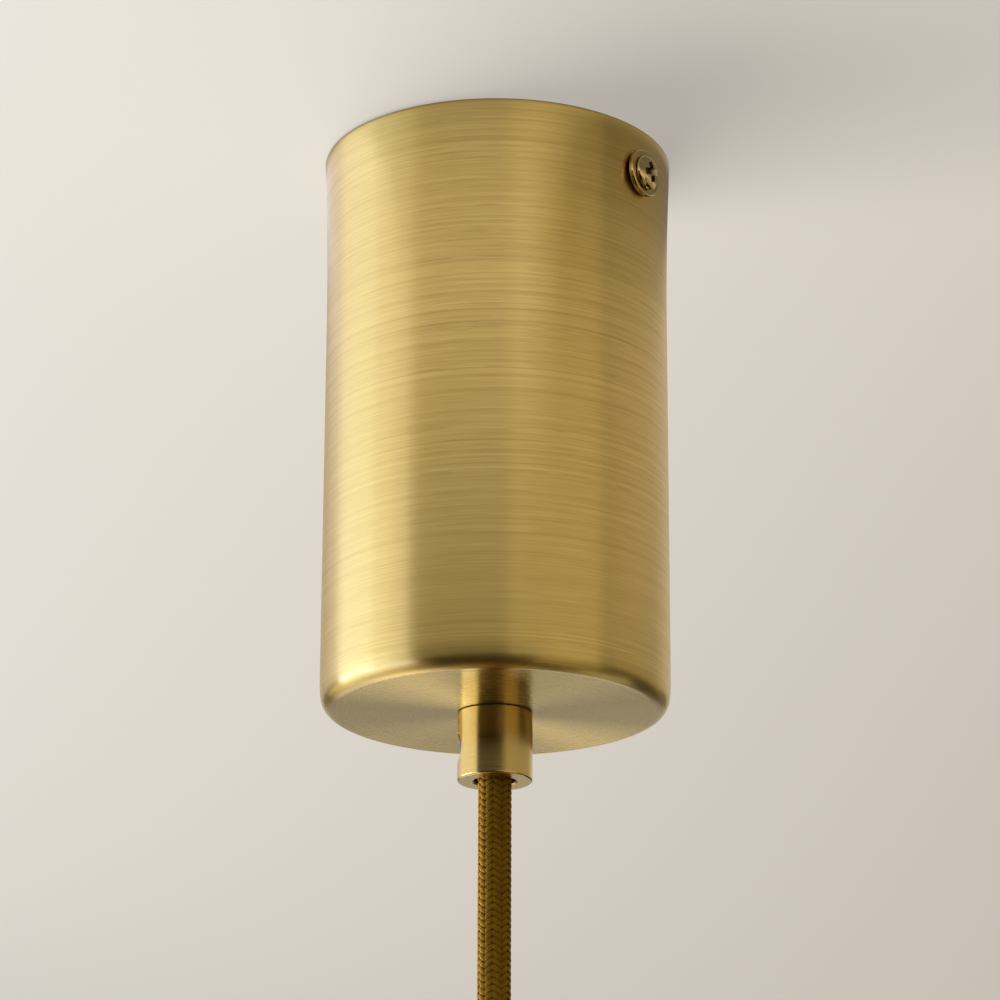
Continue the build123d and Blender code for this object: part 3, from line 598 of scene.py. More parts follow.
def outward(thing, weld=0.0):
    """Turns the faces of a mesh outward, after points within the weld distance are joined."""
    shaping = bmesh.new()
    shaping.from_mesh(thing.data)
    if weld:
        bmesh.ops.remove_doubles(shaping, verts=shaping.verts, dist=weld)
    bmesh.ops.recalc_face_normals(shaping, faces=shaping.faces)
    shaping.to_mesh(thing.data)
    shaping.free()
    return thing


# A thread that no profile meets, since its radius is negative.
NO_THREAD = (0.0, 0.0, -1.0, 1.0, 0.0)


def lathe(name, profile, segments, thread=NO_THREAD):
    """A closed profile of (radius, height) points turned about Z.

    thread is (lowest height, highest height, radius, pitch, depth) of a screw thread cut into the profile.
    """
    low, high, major, pitch, depth = thread
    shaping = bmesh.new()
    rings = []
    for radius, height in profile:
        threaded = low <= height <= high and abs(radius - major) < 1e-6
        ring = []
        for i in range(segments):
            turn = 2.0 * math.pi * i / segments
            reach = radius
            if threaded:
                phase = (height / pitch - i / segments) % 1.0
                reach -= depth * abs(2.0 * phase - 1.0)
            ring.append(shaping.verts.new((reach * math.cos(turn), reach * math.sin(turn), height)))
        rings.append(ring)
    for ring, following in zip(rings, rings[1:] + rings[:1]):
        for i in range(segments):
            j = (i + 1) % segments
            shaping.faces.new((ring[i], ring[j], following[j], following[i]))
    bmesh.ops.recalc_face_normals(shaping, faces=shaping.faces)
    return from_bmesh(name, shaping)


def solid_rod(name, profile, segments, thread=NO_THREAD):
    """A rod: a profile that starts and ends on the axis, turned about Z."""
    return outward(lathe(name, profile, segments, thread), weld=1e-8)


def block(name, low, high, taper=1.0):
    """A box from corner to corner, its lower face drawn in by a share."""
    shaping = bmesh.new()
    bmesh.ops.create_cube(shaping, size=1.0)
    middle = (Vector(low) + Vector(high)) / 2.0
    span = Vector(high) - Vector(low)
    for vert in shaping.verts:
        pull = taper if vert.co.z < 0.0 else 1.0
        vert.co = middle + Vector((vert.co.x * span.x * pull, vert.co.y * span.y, vert.co.z * span.z))
    return from_bmesh(name, shaping)


def moved(thing, matrix):
    """Moves a mesh, so that the object itself stays at the origin."""
    thing.data.transform(matrix)
    thing.data.update()
    return thing


def sideways(height, bearing=0.0, out=0.0):
    """Lays what stands on Z = 0 outward at a bearing, from a height and a distance off the axis."""
    spot = Matrix.Rotation(bearing, 4, "Z") @ Matrix.Translation((out, 0.0, height))
    return spot @ Matrix.Rotation(math.radians(90.0), 4, "Y")


def evaluated_mesh(thing):
    """The thing's mesh with its modifiers applied."""
    bpy.context.view_layer.update()
    graph = bpy.context.evaluated_depsgraph_get()
    return bpy.data.meshes.new_from_object(thing.evaluated_get(graph), depsgraph=graph)


def cut(thing, *cutters):
    """Takes the cutters' volume out of the thing, and removes the cutters."""
    for cutter in cutters:
        modifier = thing.modifiers.new("cut", "BOOLEAN")
        modifier.operation = "DIFFERENCE"
        modifier.solver = "EXACT"
        modifier.object = cutter
    mesh = evaluated_mesh(thing)
    thing.modifiers.clear()
    thing.data = mesh
    for cutter in cutters:
        bpy.data.objects.remove(cutter)
    return thing


def shade(thing, degrees=35.0):
    """Smooth faces with crisp edges past an angle."""
    for face in thing.data.polygons:
        face.use_smooth = True
    thing.data.set_sharp_from_angle(angle=math.radians(degrees))
    return thing


def paint_shade(thing, darkness):
    """Marks how much painted shade each point of a piece carries, by its distance from the Z axis and its
    height.
    """
    painted_shade = thing.data.attributes.new("painted_shade", "FLOAT", "POINT")
    for vert, item in zip(thing.data.vertices, painted_shade.data):
        item.value = darkness(math.hypot(vert.co.x, vert.co.y), vert.co.z)
    return thing


def hang_on(thing, finish_name, body, slot, *nodes):
    """Gives a finished piece its material and its body, and hides the solids that it stands for; slot is not
    used.
    """
    thing.data.materials.clear()
    thing.data.materials.append(material(finish_name))
    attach(thing, body)
    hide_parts(*nodes)


def dress(finishes):
    """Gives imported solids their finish, from the names of the nodes that have each one."""
    for finish_name, nodes in finishes.items():
        for node in nodes:
            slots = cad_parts[node].data.materials
            slots.clear()
            slots.append(material(finish_name))


FLOAT, COUNT, FINISH = "NodeSocketFloat", "NodeSocketInt", "NodeSocketMaterial"


def geometry_tree(name, sockets):
    """A new geometry tree with its named inputs, as the tree, its graph, and its inputs and outputs."""
    tree = bpy.data.node_groups.new(name, "GeometryNodeTree")
    tree.is_modifier = True
    tree.interface.new_socket("Geometry", in_out="INPUT", socket_type="NodeSocketGeometry")
    for label, kind in sockets:
        tree.interface.new_socket(label, in_out="INPUT", socket_type=kind)
    tree.interface.new_socket("Geometry", in_out="OUTPUT", socket_type="NodeSocketGeometry")
    graph = Graph(tree)
    return tree, graph, graph.add("NodeGroupInput").outputs, graph.add("NodeGroupOutput").inputs


def finish_tree(graph, geometry, given, result):
    """Ends a geometry tree: its geometry made smooth, made real and painted."""
    smooth = graph.add("GeometryNodeSetShadeSmooth", {"Geometry": geometry})
    whole = graph.add("GeometryNodeRealizeInstances", {"Geometry": smooth})
    painted = graph.add("GeometryNodeSetMaterial", {"Geometry": whole, "Material": given["Material"]})
    graph.put(result["Geometry"], painted)


def with_modifier(thing, tree, values):
    """The thing's mesh after a geometry tree, its named inputs set first."""
    modifier = thing.modifiers.new(tree.name, "NODES")
    modifier.node_group = tree
    for item in tree.interface.items_tree:
        if item.in_out == "INPUT" and item.name in values:
            modifier[item.identifier] = values[item.name]
    mesh = evaluated_mesh(thing)
    thing.modifiers.remove(modifier)
    return mesh


def yarn_profile(graph, given, half):
    """The flat oval of one yarn, whose points carry their place across it from -0.5 to 0.5."""
    flat = graph.xyz(half, graph.times(given["Yarn width"], 0.5), 1.0)
    ring = graph.add("GeometryNodeCurvePrimitiveCircle", {"Resolution": 8, "Radius": 1.0})
    oval = graph.add("GeometryNodeTransform", {"Geometry": ring, "Scale": flat})
    side = graph.parts(graph.add("GeometryNodeInputPosition"))["Y"]
    return graph.store(oval, "across", graph.math("DIVIDE", side, given["Yarn width"]))


def yarn_set(graph, given, way, middle, profile):
    """The yarns that wind one way round the route, each over two and under two of the other set."""
    route, carriers = given["Geometry"], given["Carriers"]
    line = graph.add("GeometryNodeCurvePrimitiveLine", {"End": (0.0, 0.0, 1.0)})
    spaced = graph.add("GeometryNodeResampleCurve", {"Curve": line, "Count": given["Steps"]})
    marked = graph.store(spaced, "along", graph.add("GeometryNodeSplineParameter").outputs["Factor"])
    inputs = {"Geometry": marked, "Amount": carriers}
    copies = graph.add("GeometryNodeDuplicateElements", inputs, domain="SPLINE")
    which = copies.outputs["Duplicate Index"]
    named = graph.store(copies, "yarn", graph.math("ADD", which, 20.0 * way))

    along = graph.add("GeometryNodeInputNamedAttribute", {"Name": "along"}, data_type="FLOAT").outputs[0]
    run_length = graph.add("GeometryNodeCurveLength", {0: route})
    laps = graph.math("DIVIDE", graph.times(along, run_length), given["Lay"])
    start = graph.math("DIVIDE", which, carriers)
    turn = graph.times(graph.times_plus(laps, way, start), 2.0 * math.pi)
    wave = graph.math("SINE", graph.times(turn, graph.times(carriers, 0.5)))
    lift = graph.add("ShaderNodeClamp", {"Value": graph.times(wave, 1.7), "Min": -1.0, "Max": 1.0})
    reach = graph.times_plus(graph.times(lift, way), given["Weave"], middle)

    sampled = graph.add(
        "GeometryNodeSampleCurve", {"Curves": route, "Factor": along}, mode="FACTOR", use_all_curves=True,
    ).outputs
    out = graph.vector("NORMALIZE", sampled["Normal"])
    beside = graph.vector("CROSS_PRODUCT", sampled["Tangent"], out)
    out = graph.scaled(out, graph.math("COSINE", turn))
    spoke = graph.vector("ADD", out, graph.scaled(beside, graph.math("SINE", turn)))
    spot = graph.vector("ADD", sampled["Position"], graph.scaled(spoke, reach))
    wound = graph.add("GeometryNodeSetPosition", {"Geometry": named, "Position": spot})
    facing = graph.add("GeometryNodeSetCurveNormal", {"Curve": wound, "Normal": spoke}, mode="FREE")
    inputs = {"Curve": facing, "Profile Curve": profile, "Fill Caps": True}
    return graph.add("GeometryNodeCurveToMesh", inputs)


def braid_tree():
    """Two sets of yarns that wind round a route, over a plain sheath."""
    tree, graph, given, result = geometry_tree("braided_cord", [
        ("Radius", FLOAT), ("Carriers", COUNT), ("Lay", FLOAT), ("Yarn width", FLOAT),
        ("Yarn thickness", FLOAT), ("Weave", FLOAT), ("Steps", COUNT), ("Material", FINISH),
    ])
    half = graph.times(given["Yarn thickness"], 0.5)
    middle = graph.math("SUBTRACT", graph.math("SUBTRACT", given["Radius"], half), given["Weave"])
    profile = yarn_profile(graph, given, half)
    ring = graph.add("GeometryNodeCurvePrimitiveCircle", {"Resolution": 32, "Radius": middle})
    inputs = {"Curve": given["Geometry"], "Profile Curve": ring, "Fill Caps": True}
    joined = graph.add("GeometryNodeJoinGeometry")
    for way in (1.0, -1.0):
        graph.put(joined.inputs[0], yarn_set(graph, given, way, middle, profile))
    graph.put(joined.inputs[0], graph.add("GeometryNodeCurveToMesh", inputs))
    finish_tree(graph, joined, given, result)
    return tree


def thread_tree():
    """A sheet tube with a rolled round thread, which fades out at both ends."""
    tree, graph, given, result = geometry_tree("rolled_thread", [
        ("Radius", FLOAT), ("Depth", FLOAT), ("Pitch", FLOAT), ("Bottom", FLOAT), ("Length", FLOAT),
        ("Around", COUNT), ("Rows", COUNT), ("Material", FINISH),
    ])
    grid = graph.add("GeometryNodeMeshGrid", {
        "Size X": 1.0, "Size Y": 1.0, "Vertices X": given["Around"], "Vertices Y": given["Rows"],
    })
    spot = graph.parts(graph.add("GeometryNodeInputPosition"))
    lap = graph.math("ADD", spot["X"], 0.5)
    up = graph.math("ADD", spot["Y"], 0.5)
    rise = graph.times(up, given["Length"])
    phase = graph.math("SUBTRACT", graph.math("DIVIDE", rise, given["Pitch"]), lap)
    wave = graph.math("SINE", graph.times(phase, 2.0 * math.pi))
    ends = graph.times(graph.times(up, graph.math("SUBTRACT", 1.0, up)), 14.0)
    fade = graph.math("MINIMUM", ends, 1.0)
    reach = graph.times_plus(graph.times(wave, fade), given["Depth"], given["Radius"])
    turn = graph.times(lap, 2.0 * math.pi)
    tube = graph.xyz(
        graph.times(reach, graph.math("COSINE", turn)),
        graph.times(reach, graph.math("SINE", turn)),
        graph.math("ADD", rise, given["Bottom"]),
    )
    rolled = graph.add("GeometryNodeSetPosition", {"Geometry": grid, "Position": tube})
    closed = graph.add("GeometryNodeMergeByDistance", {"Geometry": rolled, "Distance": 1e-6})
    finish_tree(graph, closed, given, result)
    return tree


def route_curve(name, points):
    """A smooth open route from its first point to its last."""
    data = bpy.data.curves.new(name, "CURVE")
    data.dimensions = "3D"
    spline = data.splines.new("NURBS")
    spline.points.add(len(points) - 1)
    for spot, point in zip(spline.points, points):
        spot.co = (*point, 1.0)
    spline.order_u = 3
    spline.use_endpoint_u = True
    spline.resolution_u = 24
    return add_object(name, data)


YARN_STEP = 0.26 * MM


def braided(name, top, bottom, cord):
    """A braided stretch of cord down the axis, with the points of its route's own line."""
    heights = (top, (top + bottom) / 2.0, bottom)
    route = route_curve(name + "_route", [(0.0, 0.0, height) for height in heights])
    path = [vert.co.copy() for vert in evaluated_mesh(route).vertices]
    span = sum((b - a).length for a, b in zip(path, path[1:]))
    tree = bpy.data.node_groups.get("braided_cord") or braid_tree()
    mesh = with_modifier(route, tree, {
        "Radius": cord.radius, "Carriers": cord.carriers, "Lay": cord.lay,
        "Yarn width": cord.yarn_width, "Yarn thickness": cord.yarn_thickness, "Weave": cord.weave,
        "Steps": max(int(span / YARN_STEP), 12), "Material": material("braid_yarn"),
    })
    mesh.name = name
    bpy.data.objects.remove(route)
    return add_object(name, mesh), path


class PENDANT_OT_finishes(bpy.types.Operator):
    """Makes every finish of the pendant and its stage"""

    bl_idname = "pendant.finishes"
    bl_label = "Make Finishes"

    def execute(self, context):
        finish = context.scene.pendant.finish
        brushed_brass("brushed_brass", finish, finish.brass_roughness, finish.brush_share, 1.0)
        turned = (finish.turned_roughness, finish.turned_share, finish.turned_marks)
        brushed_brass("turned_brass", finish, *turned)
        plated_brass(finish)
        braid_yarn(finish)
        ceiling_paint(finish, context.scene.pendant.stage.camera_bearing)
        floor_paint()
        clear_nylon()
        plain_metal("zinc_steel", (0.62, 0.63, 0.62), (0.52, 0.53, 0.50), 0.26, 0.42, 3.0 * MM)
        plain_metal("plain_brass", (0.76, 0.56, 0.24), (0.64, 0.44, 0.17), 0.22, 0.36, 1.5 * MM)
        plain_metal("nickel", (0.70, 0.68, 0.63), (0.62, 0.59, 0.54), 0.16, 0.30, 2.0 * MM)
        moulded_plastic("white_plastic", (0.82, 0.82, 0.78), (0.76, 0.76, 0.72), 0.34, 0.48, 0.25)
        moulded_plastic("socket_white", (0.70, 0.69, 0.65), (0.65, 0.64, 0.60), 0.28, 0.40, 0.05)
        moulded_plastic("brown_sheath", (0.13, 0.045, 0.018), (0.10, 0.034, 0.014), 0.38, 0.52)
        moulded_plastic("blue_sheath", (0.02, 0.11, 0.42), (0.015, 0.085, 0.34), 0.38, 0.52)
        moulded_plastic("green_sheath", (0.05, 0.27, 0.04), (0.035, 0.21, 0.03), 0.38, 0.52)
        return {"FINISHED"}


# Upright panels round the pendant: name, bearings and elevations in degrees, light.
# A bearing is taken from the camera's side, positive to the picture's right.
PANELS = (
    ("key_top", (-84.0, -120.0), (2.6, -12.0), (1.8, 2.5, 5.0)),
    ("key_edge", (-70.0, -84.0), (2.6, -12.0), (0.8, 1.0, 1.5)),
    ("key", (-57.0, -122.0), (-12.0, -25.0), (1.2, 1.7, 3.0)),
    ("key_low", (-57.0, -103.0), (-25.0, -40.0), (1.5, 1.6, 2.5)),
    ("key_far", (-103.0, -145.0), (-12.0, -40.0), (0.65, 0.6, 0.4)),
    ("key_foot", (-57.0, -120.0), (-40.0, -62.0), (0.4, 0.3, 0.2)),
    ("fill_top", (8.0, 70.0), (2.6, -12.0), (0.65, 0.6, 0.5)),
    ("fill", (30.0, 80.0), (-12.0, -57.0), (0.2, 0.17, 0.1)),
    ("fill_foot", (30.0, 110.0), (-57.0, -68.0), (0.55, 0.5, 0.4)),
    ("right", (80.0, 140.0), (2.6, -12.0), (0.25, 0.2, 0.1)),
    ("back", (160.0, 200.0), (0.0, -25.0), (0.2, 0.2, 0.2)),
    ("back_low", (168.0, 208.0), (-25.0, -40.0), (0.75, 0.8, 0.95)),
    ("back_foot", (118.0, 152.0), (-40.0, -57.0), (0.5, 0.5, 0.4)),
    ("left_foot", (190.0, 216.0), (-40.0, -57.0), (1.7, 1.6, 1.6)),
    ("under_right", (110.0, 163.0), (-57.0, -68.0), (0.4, 0.36, 0.3)),
    ("under_left", (163.0, 216.0), (-57.0, -68.0), (0.6, 0.52, 0.35)),
)
CORD_SIDE = ("cord_side", (-105.0, -140.0), (0.0, -30.0))


class PENDANT_OT_stage(bpy.types.Operator):
    """Sets the ceiling, the floor, the lamps and the camera"""

    bl_idname = "pendant.stage"
    bl_label = "Set Stage"

    def execute(self, context):
        stage = context.scene.pendant.stage
        self.camera(context, stage)
        self.paint(stage)
        self.lamps(stage)
        self.room(context, stage)
        context.scene.view_settings.view_transform = "Standard"
        return {"FINISHED"}

    def camera(self, context, stage):
        """The camera below the ceiling, aimed up at the cup."""
        aim = Vector((
            math.sin(stage.camera_yaw) * math.cos(stage.camera_pitch),
            math.cos(stage.camera_yaw) * math.cos(stage.camera_pitch),
            math.sin(stage.camera_pitch),
        ))
        right = Vector((math.cos(stage.camera_yaw), -math.sin(stage.camera_yaw), 0.0))
        above = right.cross(aim)
        roll = Matrix.Rotation(-stage.camera_roll, 3, aim)
        axes = Matrix((roll @ right, roll @ above, -aim)).transposed().to_4x4()
        spot = Matrix.Translation((0.0, -stage.camera_distance, -stage.camera_drop))
        data = bpy.data.cameras.new("camera")
        data.sensor_width = 36.0
        data.lens = stage.lens
        data.clip_start = 0.01
        camera = add_object("camera", data)
        camera.matrix_world = Matrix.Rotation(stage.camera_bearing, 4, "Z") @ spot @ axes
        context.scene.camera = camera

    def paint(self, stage):
        """A ceiling that shows from below only, and a pale floor."""
        for name, height, up in (("ceiling", stage.ceiling_gap, False), ("floor", -stage.floor_drop, True)):
            shaping = bmesh.new()
            bmesh.ops.create_grid(shaping, x_segments=1, y_segments=1, size=stage.half_side)
            if not up:
                bmesh.ops.reverse_faces(shaping, faces=shaping.faces)
            sheet = moved(from_bmesh(name, shaping), Matrix.Translation((0.0, 0.0, height)))
            sheet.data.materials.append(material(name + "_paint"))

    def lamps(self, stage):
        """The shadow's lamp, the panels that only the pendant sees, and the lamp that only its cord sees."""
        self.window(stage)
        apart = bpy.data.collections.new("without_panels")
        for name in ("ceiling", "floor"):
            apart.objects.link(bpy.data.objects[name])
        for item in apart.collection_objects:
            item.light_linking.link_state = "EXCLUDE"
        for row in PANELS:
            self.panel(stage, *row).light_linking.receiver_collection = apart
        side = self.panel(stage, *CORD_SIDE, stage.cord_light)
        side.light_linking.receiver_collection = bpy.data.collections.new("cords")

    def room(self, context, stage):
        """A room that is pale to the camera and dim to the pendant."""
        world = bpy.data.worlds.new("room")
        context.scene.world = world
        world.use_nodes = True
        graph = Graph(world.node_tree)
        dim = world.node_tree.nodes["Background"]
        graph.fill(dim, {"Color": (1.0, 0.94, 0.84, 1.0), "Strength": stage.room_light})
        pale = graph.add("ShaderNodeBackground", {"Color": (0.80, 0.77, 0.72, 1.0), "Strength": 1.0})
        seen = graph.add("ShaderNodeLightPath").outputs["Is Camera Ray"]
        blend = graph.add("ShaderNodeMixShader", {0: seen, 1: dim, 2: pale})
        graph.fill(world.node_tree.nodes["World Output"], {"Surface": blend})

    def window(self, stage):
        """The soft lamp that throws the cup's shadow on the ceiling."""
        spot = self.bearing_spot(stage, stage.window_bearing, stage.window_distance, -stage.window_drop)
        aim = Vector((0.0, 0.0, -stage.eye_drop)) - spot
        size = (stage.window_width, stage.window_height)
        lamp = self.lamp("window", spot, aim, size, (1.0, 0.97, 0.92), stage.window_light)
        lamp.visible_glossy = False

    def panel(self, stage, name, bearings, heights, light):
        """An upright panel for the polished parts, between two bearings and two elevations in degrees."""
        away = stage.panel_distance
        half = math.radians(abs(bearings[1] - bearings[0]) / 2.0)
        top, bottom = (away * math.tan(math.radians(value)) - stage.eye_drop for value in heights)
        top = min(top, -stage.panel_gap)
        middle = math.radians(sum(bearings) / 2.0)
        spot = self.bearing_spot(stage, middle, away, (top + bottom) / 2.0)
        aim = Vector((-spot.x, -spot.y, 0.0))
        size = (2.0 * away * math.tan(half), top - bottom)
        peak = max(light)
        return self.lamp(name, spot, aim, size, tuple(value / peak for value in light), peak)

    def bearing_spot(self, stage, bearing, away, height):
        """A place at a bearing from the camera's side."""
        turn = bearing + stage.camera_bearing
        return Vector((away * math.sin(turn), -away * math.cos(turn), height))

    def lamp(self, name, spot, aim, size, tint, light):
        """An area lamp of an even brightness that the camera does not see."""
        data = bpy.data.lights.new(name, "AREA")
        data.shape = "RECTANGLE"
        data.size, data.size_y = size
        watts_per_area = 4.0
        data.energy = watts_per_area * size[0] * size[1] * light
        data.color = tint
        lamp = add_object(name, data)
        lamp.matrix_world = Matrix.Translation(spot) @ aim.to_track_quat("-Z", "Y").to_matrix().to_4x4()
        lamp.visible_camera = False
        return lamp


class PENDANT_OT_cord(bpy.types.Operator):
    """Braids the hanging cord and its two ends inside the cup and the lampholder"""

    bl_idname = "pendant.cord"
    bl_label = "Braid Cord"

    def execute(self, context):
        cord = context.scene.pendant.cord
        top, bottom = -cord.mouth + cord.inside, -cord.lamp - cord.inside
        hanging, path = braided("hanging_cord", top, bottom, cord)
        hang_on(hanging, "braid_yarn", "hang", "braid", "cord", "cord_bend")
        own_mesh(hanging)
        gap, sunk = 0.2 * MM, 1.6 * MM
        held, _ = braided("held_cord", TAIL_TOP, top + gap, cord)
        hang_on(held, "braid_yarn", "canopy", "braid", "cord_tail")
        end, _ = braided("lamp_cord_end", CORD_END_HIGH.z - sunk, CORD_END_LOW.z, cord)
        hang_on(end, "braid_yarn", "lamp", "braid", "holder_cord_end")
        for piece in (hanging, held, end):
            bpy.data.collections["cords"].objects.link(piece)
        return {"FINISHED"}


# A ring this far from a corner of a turned profile keeps the shading beside the corner even.
CREASE = 0.1 * MM


class PENDANT_OT_cup(bpy.types.Operator):
    """Turns the canopy cup and the lampholder's cover"""

    bl_idname = "pendant.cup"
    bl_label = "Turn Cup and Cover"

    def execute(self, context):
        cup = context.scene.pendant.cup
        shell = lathe("brass_cup", self.cup_profile(cup), segments=192)
        past = 50.0 * MM
        outline = [(0.0, -past), (cup.screw_hole, -past), (cup.screw_hole, past), (0.0, past)]
        rod = solid_rod("hole", outline, segments=40)
        moved(rod, sideways(-context.scene.pendant.fixing.drop))
        shade(cut(shell, rod))
        # Painted shade: a dark line painted along the rim's top, where the gap at the ceiling lies in shade.
        paint_shade(shell, lambda out, up: cup.rim_shade if up > -cup.rim_line else 0.0)
        hang_on(shell, "brushed_brass", "canopy", "brushed_brass", "canopy_cup")
        cover = shade(lathe("brass_cover", self.cover_profile(cup), segments=160))
        hang_on(cover, "brushed_brass", "lamp", "brushed_brass", "holder_cover")
        return {"FINISHED"}

    def flare(self, cup, inset, steps):
        """The wall's opening towards the rim: an arc that leaves the straight wall without a corner."""
        rise = cup.rim_radius - cup.radius
        bend = (cup.flare**2 + rise**2) / (2.0 * rise)
        heights = [cup.flare * i / steps for i in range(steps + 1)]
        return [(cup.radius - inset + bend - math.sqrt(bend**2 - h**2), h - cup.flare) for h in heights]

    def base_curve(self, cup, inset, steps):
        """From the base up round the fillet, and on until the wall stands upright."""
        lean = math.atan(2.0 * cup.ease / cup.ease_rise)
        round_off = cup.fillet - cup.ease
        middle = (cup.radius - cup.ease - round_off * math.cos(lean), round_off - cup.height)
        turned = arc(middle, round_off - inset, -90.0, -math.degrees(lean), steps)
        out, up = turned[-1]
        rings = 6
        heights = [i / rings for i in range(1, rings + 1)]
        return turned + [(out + cup.ease * (2.0 * h - h * h), up + cup.ease_rise * h) for h in heights]

    def cup_profile(self, cup):
        """Outer wall from the cord hole up to the rim, then the inner wall back down."""
        base = -cup.height
        bead = 0.15 * MM
        curve = self.base_curve(cup, 0.0, 20)
        outer = [(cup.cord_hole, base), (cup.cord_hole + CREASE, base)]
        outer += run(outer[-1], (curve[0][0] - CREASE, base), 12) + curve
        outer += run(outer[-1], (cup.radius, -cup.flare), 10)
        outer += self.flare(cup, 0.0, 14)[1:-1]
        outer += run(outer[-1], (cup.rim_radius, -bead), 5)[:-1]
        outer += arc((cup.rim_radius - bead, -bead), bead, 0.0, 90.0, 4)
        inner = [(cup.rim_radius - cup.wall, 0.0)]
        inner += self.flare(cup, cup.wall, 10)[-2::-1]
        inner += self.base_curve(cup, cup.wall, 12)[::-1]
        inner += [(cup.cord_hole, base + cup.wall)]
        return outer + inner

    def cover_profile(self, cup):
        """A straight small cup, open below."""
        top, bottom, radius = COVER_HIGH.z, COVER_LOW.z, cup.cover_radius
        inside = radius - cup.wall
        corner = (radius - cup.fillet, top - cup.fillet)
        bead = 0.2 * MM
        outer = [(cup.cord_hole, top), (cup.cord_hole + CREASE, top)]
        outer += run(outer[-1], (corner[0] - CREASE, top), 10)
        outer += arc(corner, cup.fillet, 90.0, 0.0, 16)
        outer += run(outer[-1], (radius, bottom + bead), 8)
        outer += arc((radius - bead, bottom + bead), bead, 0.0, -90.0, 4)[1:]
        inner = [(inside + bead, bottom)]
        inner += arc((inside + bead, bottom + bead), bead, 270.0, 180.0, 4)[1:]
        inner += run(inner[-1], (inside, corner[1]), 6)
        inner += arc(corner, cup.fillet - cup.wall, 0.0, 90.0, 10)[1:]
        inner += [(cup.cord_hole, top - cup.wall)]
        return outer + inner


class PENDANT_OT_grips(bpy.types.Operator):
    """Turns the two cord grips, with their threaded spigots and side holes"""

    bl_idname = "pendant.grips"
    bl_label = "Turn Cord Grips"

    def execute(self, context):
        grip = context.scene.pendant.grip
        upper = self.grip_piece("cord_grip_piece", grip, GRIP_HIGH.z - GRIP_LOW.z)
        moved(upper, Matrix.Translation((0.0, 0.0, GRIP_LOW.z)))
        hang_on(upper, "turned_brass", "canopy", "brushed_brass", "cord_grip")
        lower = self.grip_piece("holder_grip_piece", grip, HOLDER_GRIP_HIGH.z - HOLDER_GRIP_LOW.z)
        axis = Vector((math.cos(grip.screw_bearing), math.sin(grip.screw_bearing), 0.0))
        flip = Matrix.Rotation(math.pi, 4, axis)
        moved(lower, Matrix.Translation((0.0, 0.0, HOLDER_GRIP_HIGH.z)) @ flip)
        hang_on(lower, "turned_brass", "lamp", "brushed_brass", "holder_grip")
        return {"FINISHED"}

    def grip_piece(self, name, grip, top):
        """A grip that stands on its mouth at z = 0, its spigot's end at the top."""
        radius, bore, spigot, edge, height = grip.radius, grip.bore, grip.spigot, grip.edge, grip.height
        chamfer, near = 0.25 * MM, 0.05 * MM
        seam, seam_step, seam_depth = 0.18 * MM, 0.1 * MM, 0.3 * MM
        tip, plain, thread_depth = 0.6 * MM, 0.8 * MM, 0.5 * MM
        outside = [(bore + chamfer, 0.0), (bore + chamfer + CREASE, 0.0)]
        outside += run(outside[-1], (radius - edge - near, 0.0), 4)
        outside += arc((radius - edge, edge), edge, -90.0, 0.0, 8) + [(radius, edge + near)]
        outside += run(outside[-1], (radius, height - seam), 6)
        outside += [(radius - seam_step, height - 0.9 * seam), (radius - seam_depth, height)]
        outside += [(spigot, height)]
        outside += run(outside[-1], (spigot, top - tip), 60)
        outside += [(spigot - tip, top), (bore, top)]
        outside += run(outside[-1], (bore, chamfer), 8)
        thread = (height + plain, top - tip, spigot, grip.pitch, thread_depth)
        body = lathe(name, outside, segments=128, thread=thread)
        far = 2.0 * radius
        hole = [(0.0, 0.0), (grip.hole, 0.0), (grip.hole, grip.mouth_at)]
        hole += [(grip.mouth, grip.mouth_at + chamfer), (grip.mouth, far), (0.0, far)]
        stand = sideways(height - grip.screw_drop, grip.screw_bearing)
        shade(cut(body, moved(solid_rod("hole", hole, segments=64), stand)))

        def in_seam(out, up):
            """Painted shade fills the narrow seam under the base and nothing else."""
            return float(abs(up - height) < 0.95 * seam and spigot < out < radius - near)

        return paint_shade(body, in_seam)


class PENDANT_OT_set_screws(bpy.types.Operator):
    """Moulds the two clear set screws of the grips"""

    bl_idname = "pendant.set_screws"
    bl_label = "Mould Set Screws"

    def execute(self, context):
        grip = context.scene.pendant.grip
        base = GRIP_LOW.z + grip.height - grip.screw_drop
        lamp = HOLDER_GRIP_HIGH.z - grip.height + grip.screw_drop
        self.screw(grip, "grip_screw_piece", base, "grip_screw", "grip_set_screw")
        self.screw(grip, "holder_screw_piece", lamp, "holder_screw", "holder_set_screw")
        return {"FINISHED"}

    def screw(self, grip, name, height, body, node):
        """One slotted screw, its thread along the side hole."""
        start, end, radius = grip.screw_tip, grip.screw_end, grip.screw_radius
        chamfer, pitch, thread_depth = 0.3 * MM, 0.8 * MM, 0.32 * MM
        profile = [(0.0, start), (radius - chamfer, start)]
        profile += run((radius, start + chamfer), (radius, end - chamfer), 24)
        profile += [(radius - chamfer, end), (0.0, end)]
        thread = (start + chamfer, end - chamfer, radius, pitch, thread_depth)
        rod = solid_rod(name, profile, segments=48, thread=thread)
        slot_half, slot_reach, slot_depth = 0.45 * MM, 4.0 * MM, 1.1 * MM
        low = (-slot_reach, -slot_half, end - slot_depth)
        cut(rod, block("slot", low, (slot_reach, slot_half, end + MM)))
        moved(rod, sideways(height, grip.screw_bearing))
        hang_on(shade(rod), "clear_nylon", body, "clear_nylon", node)


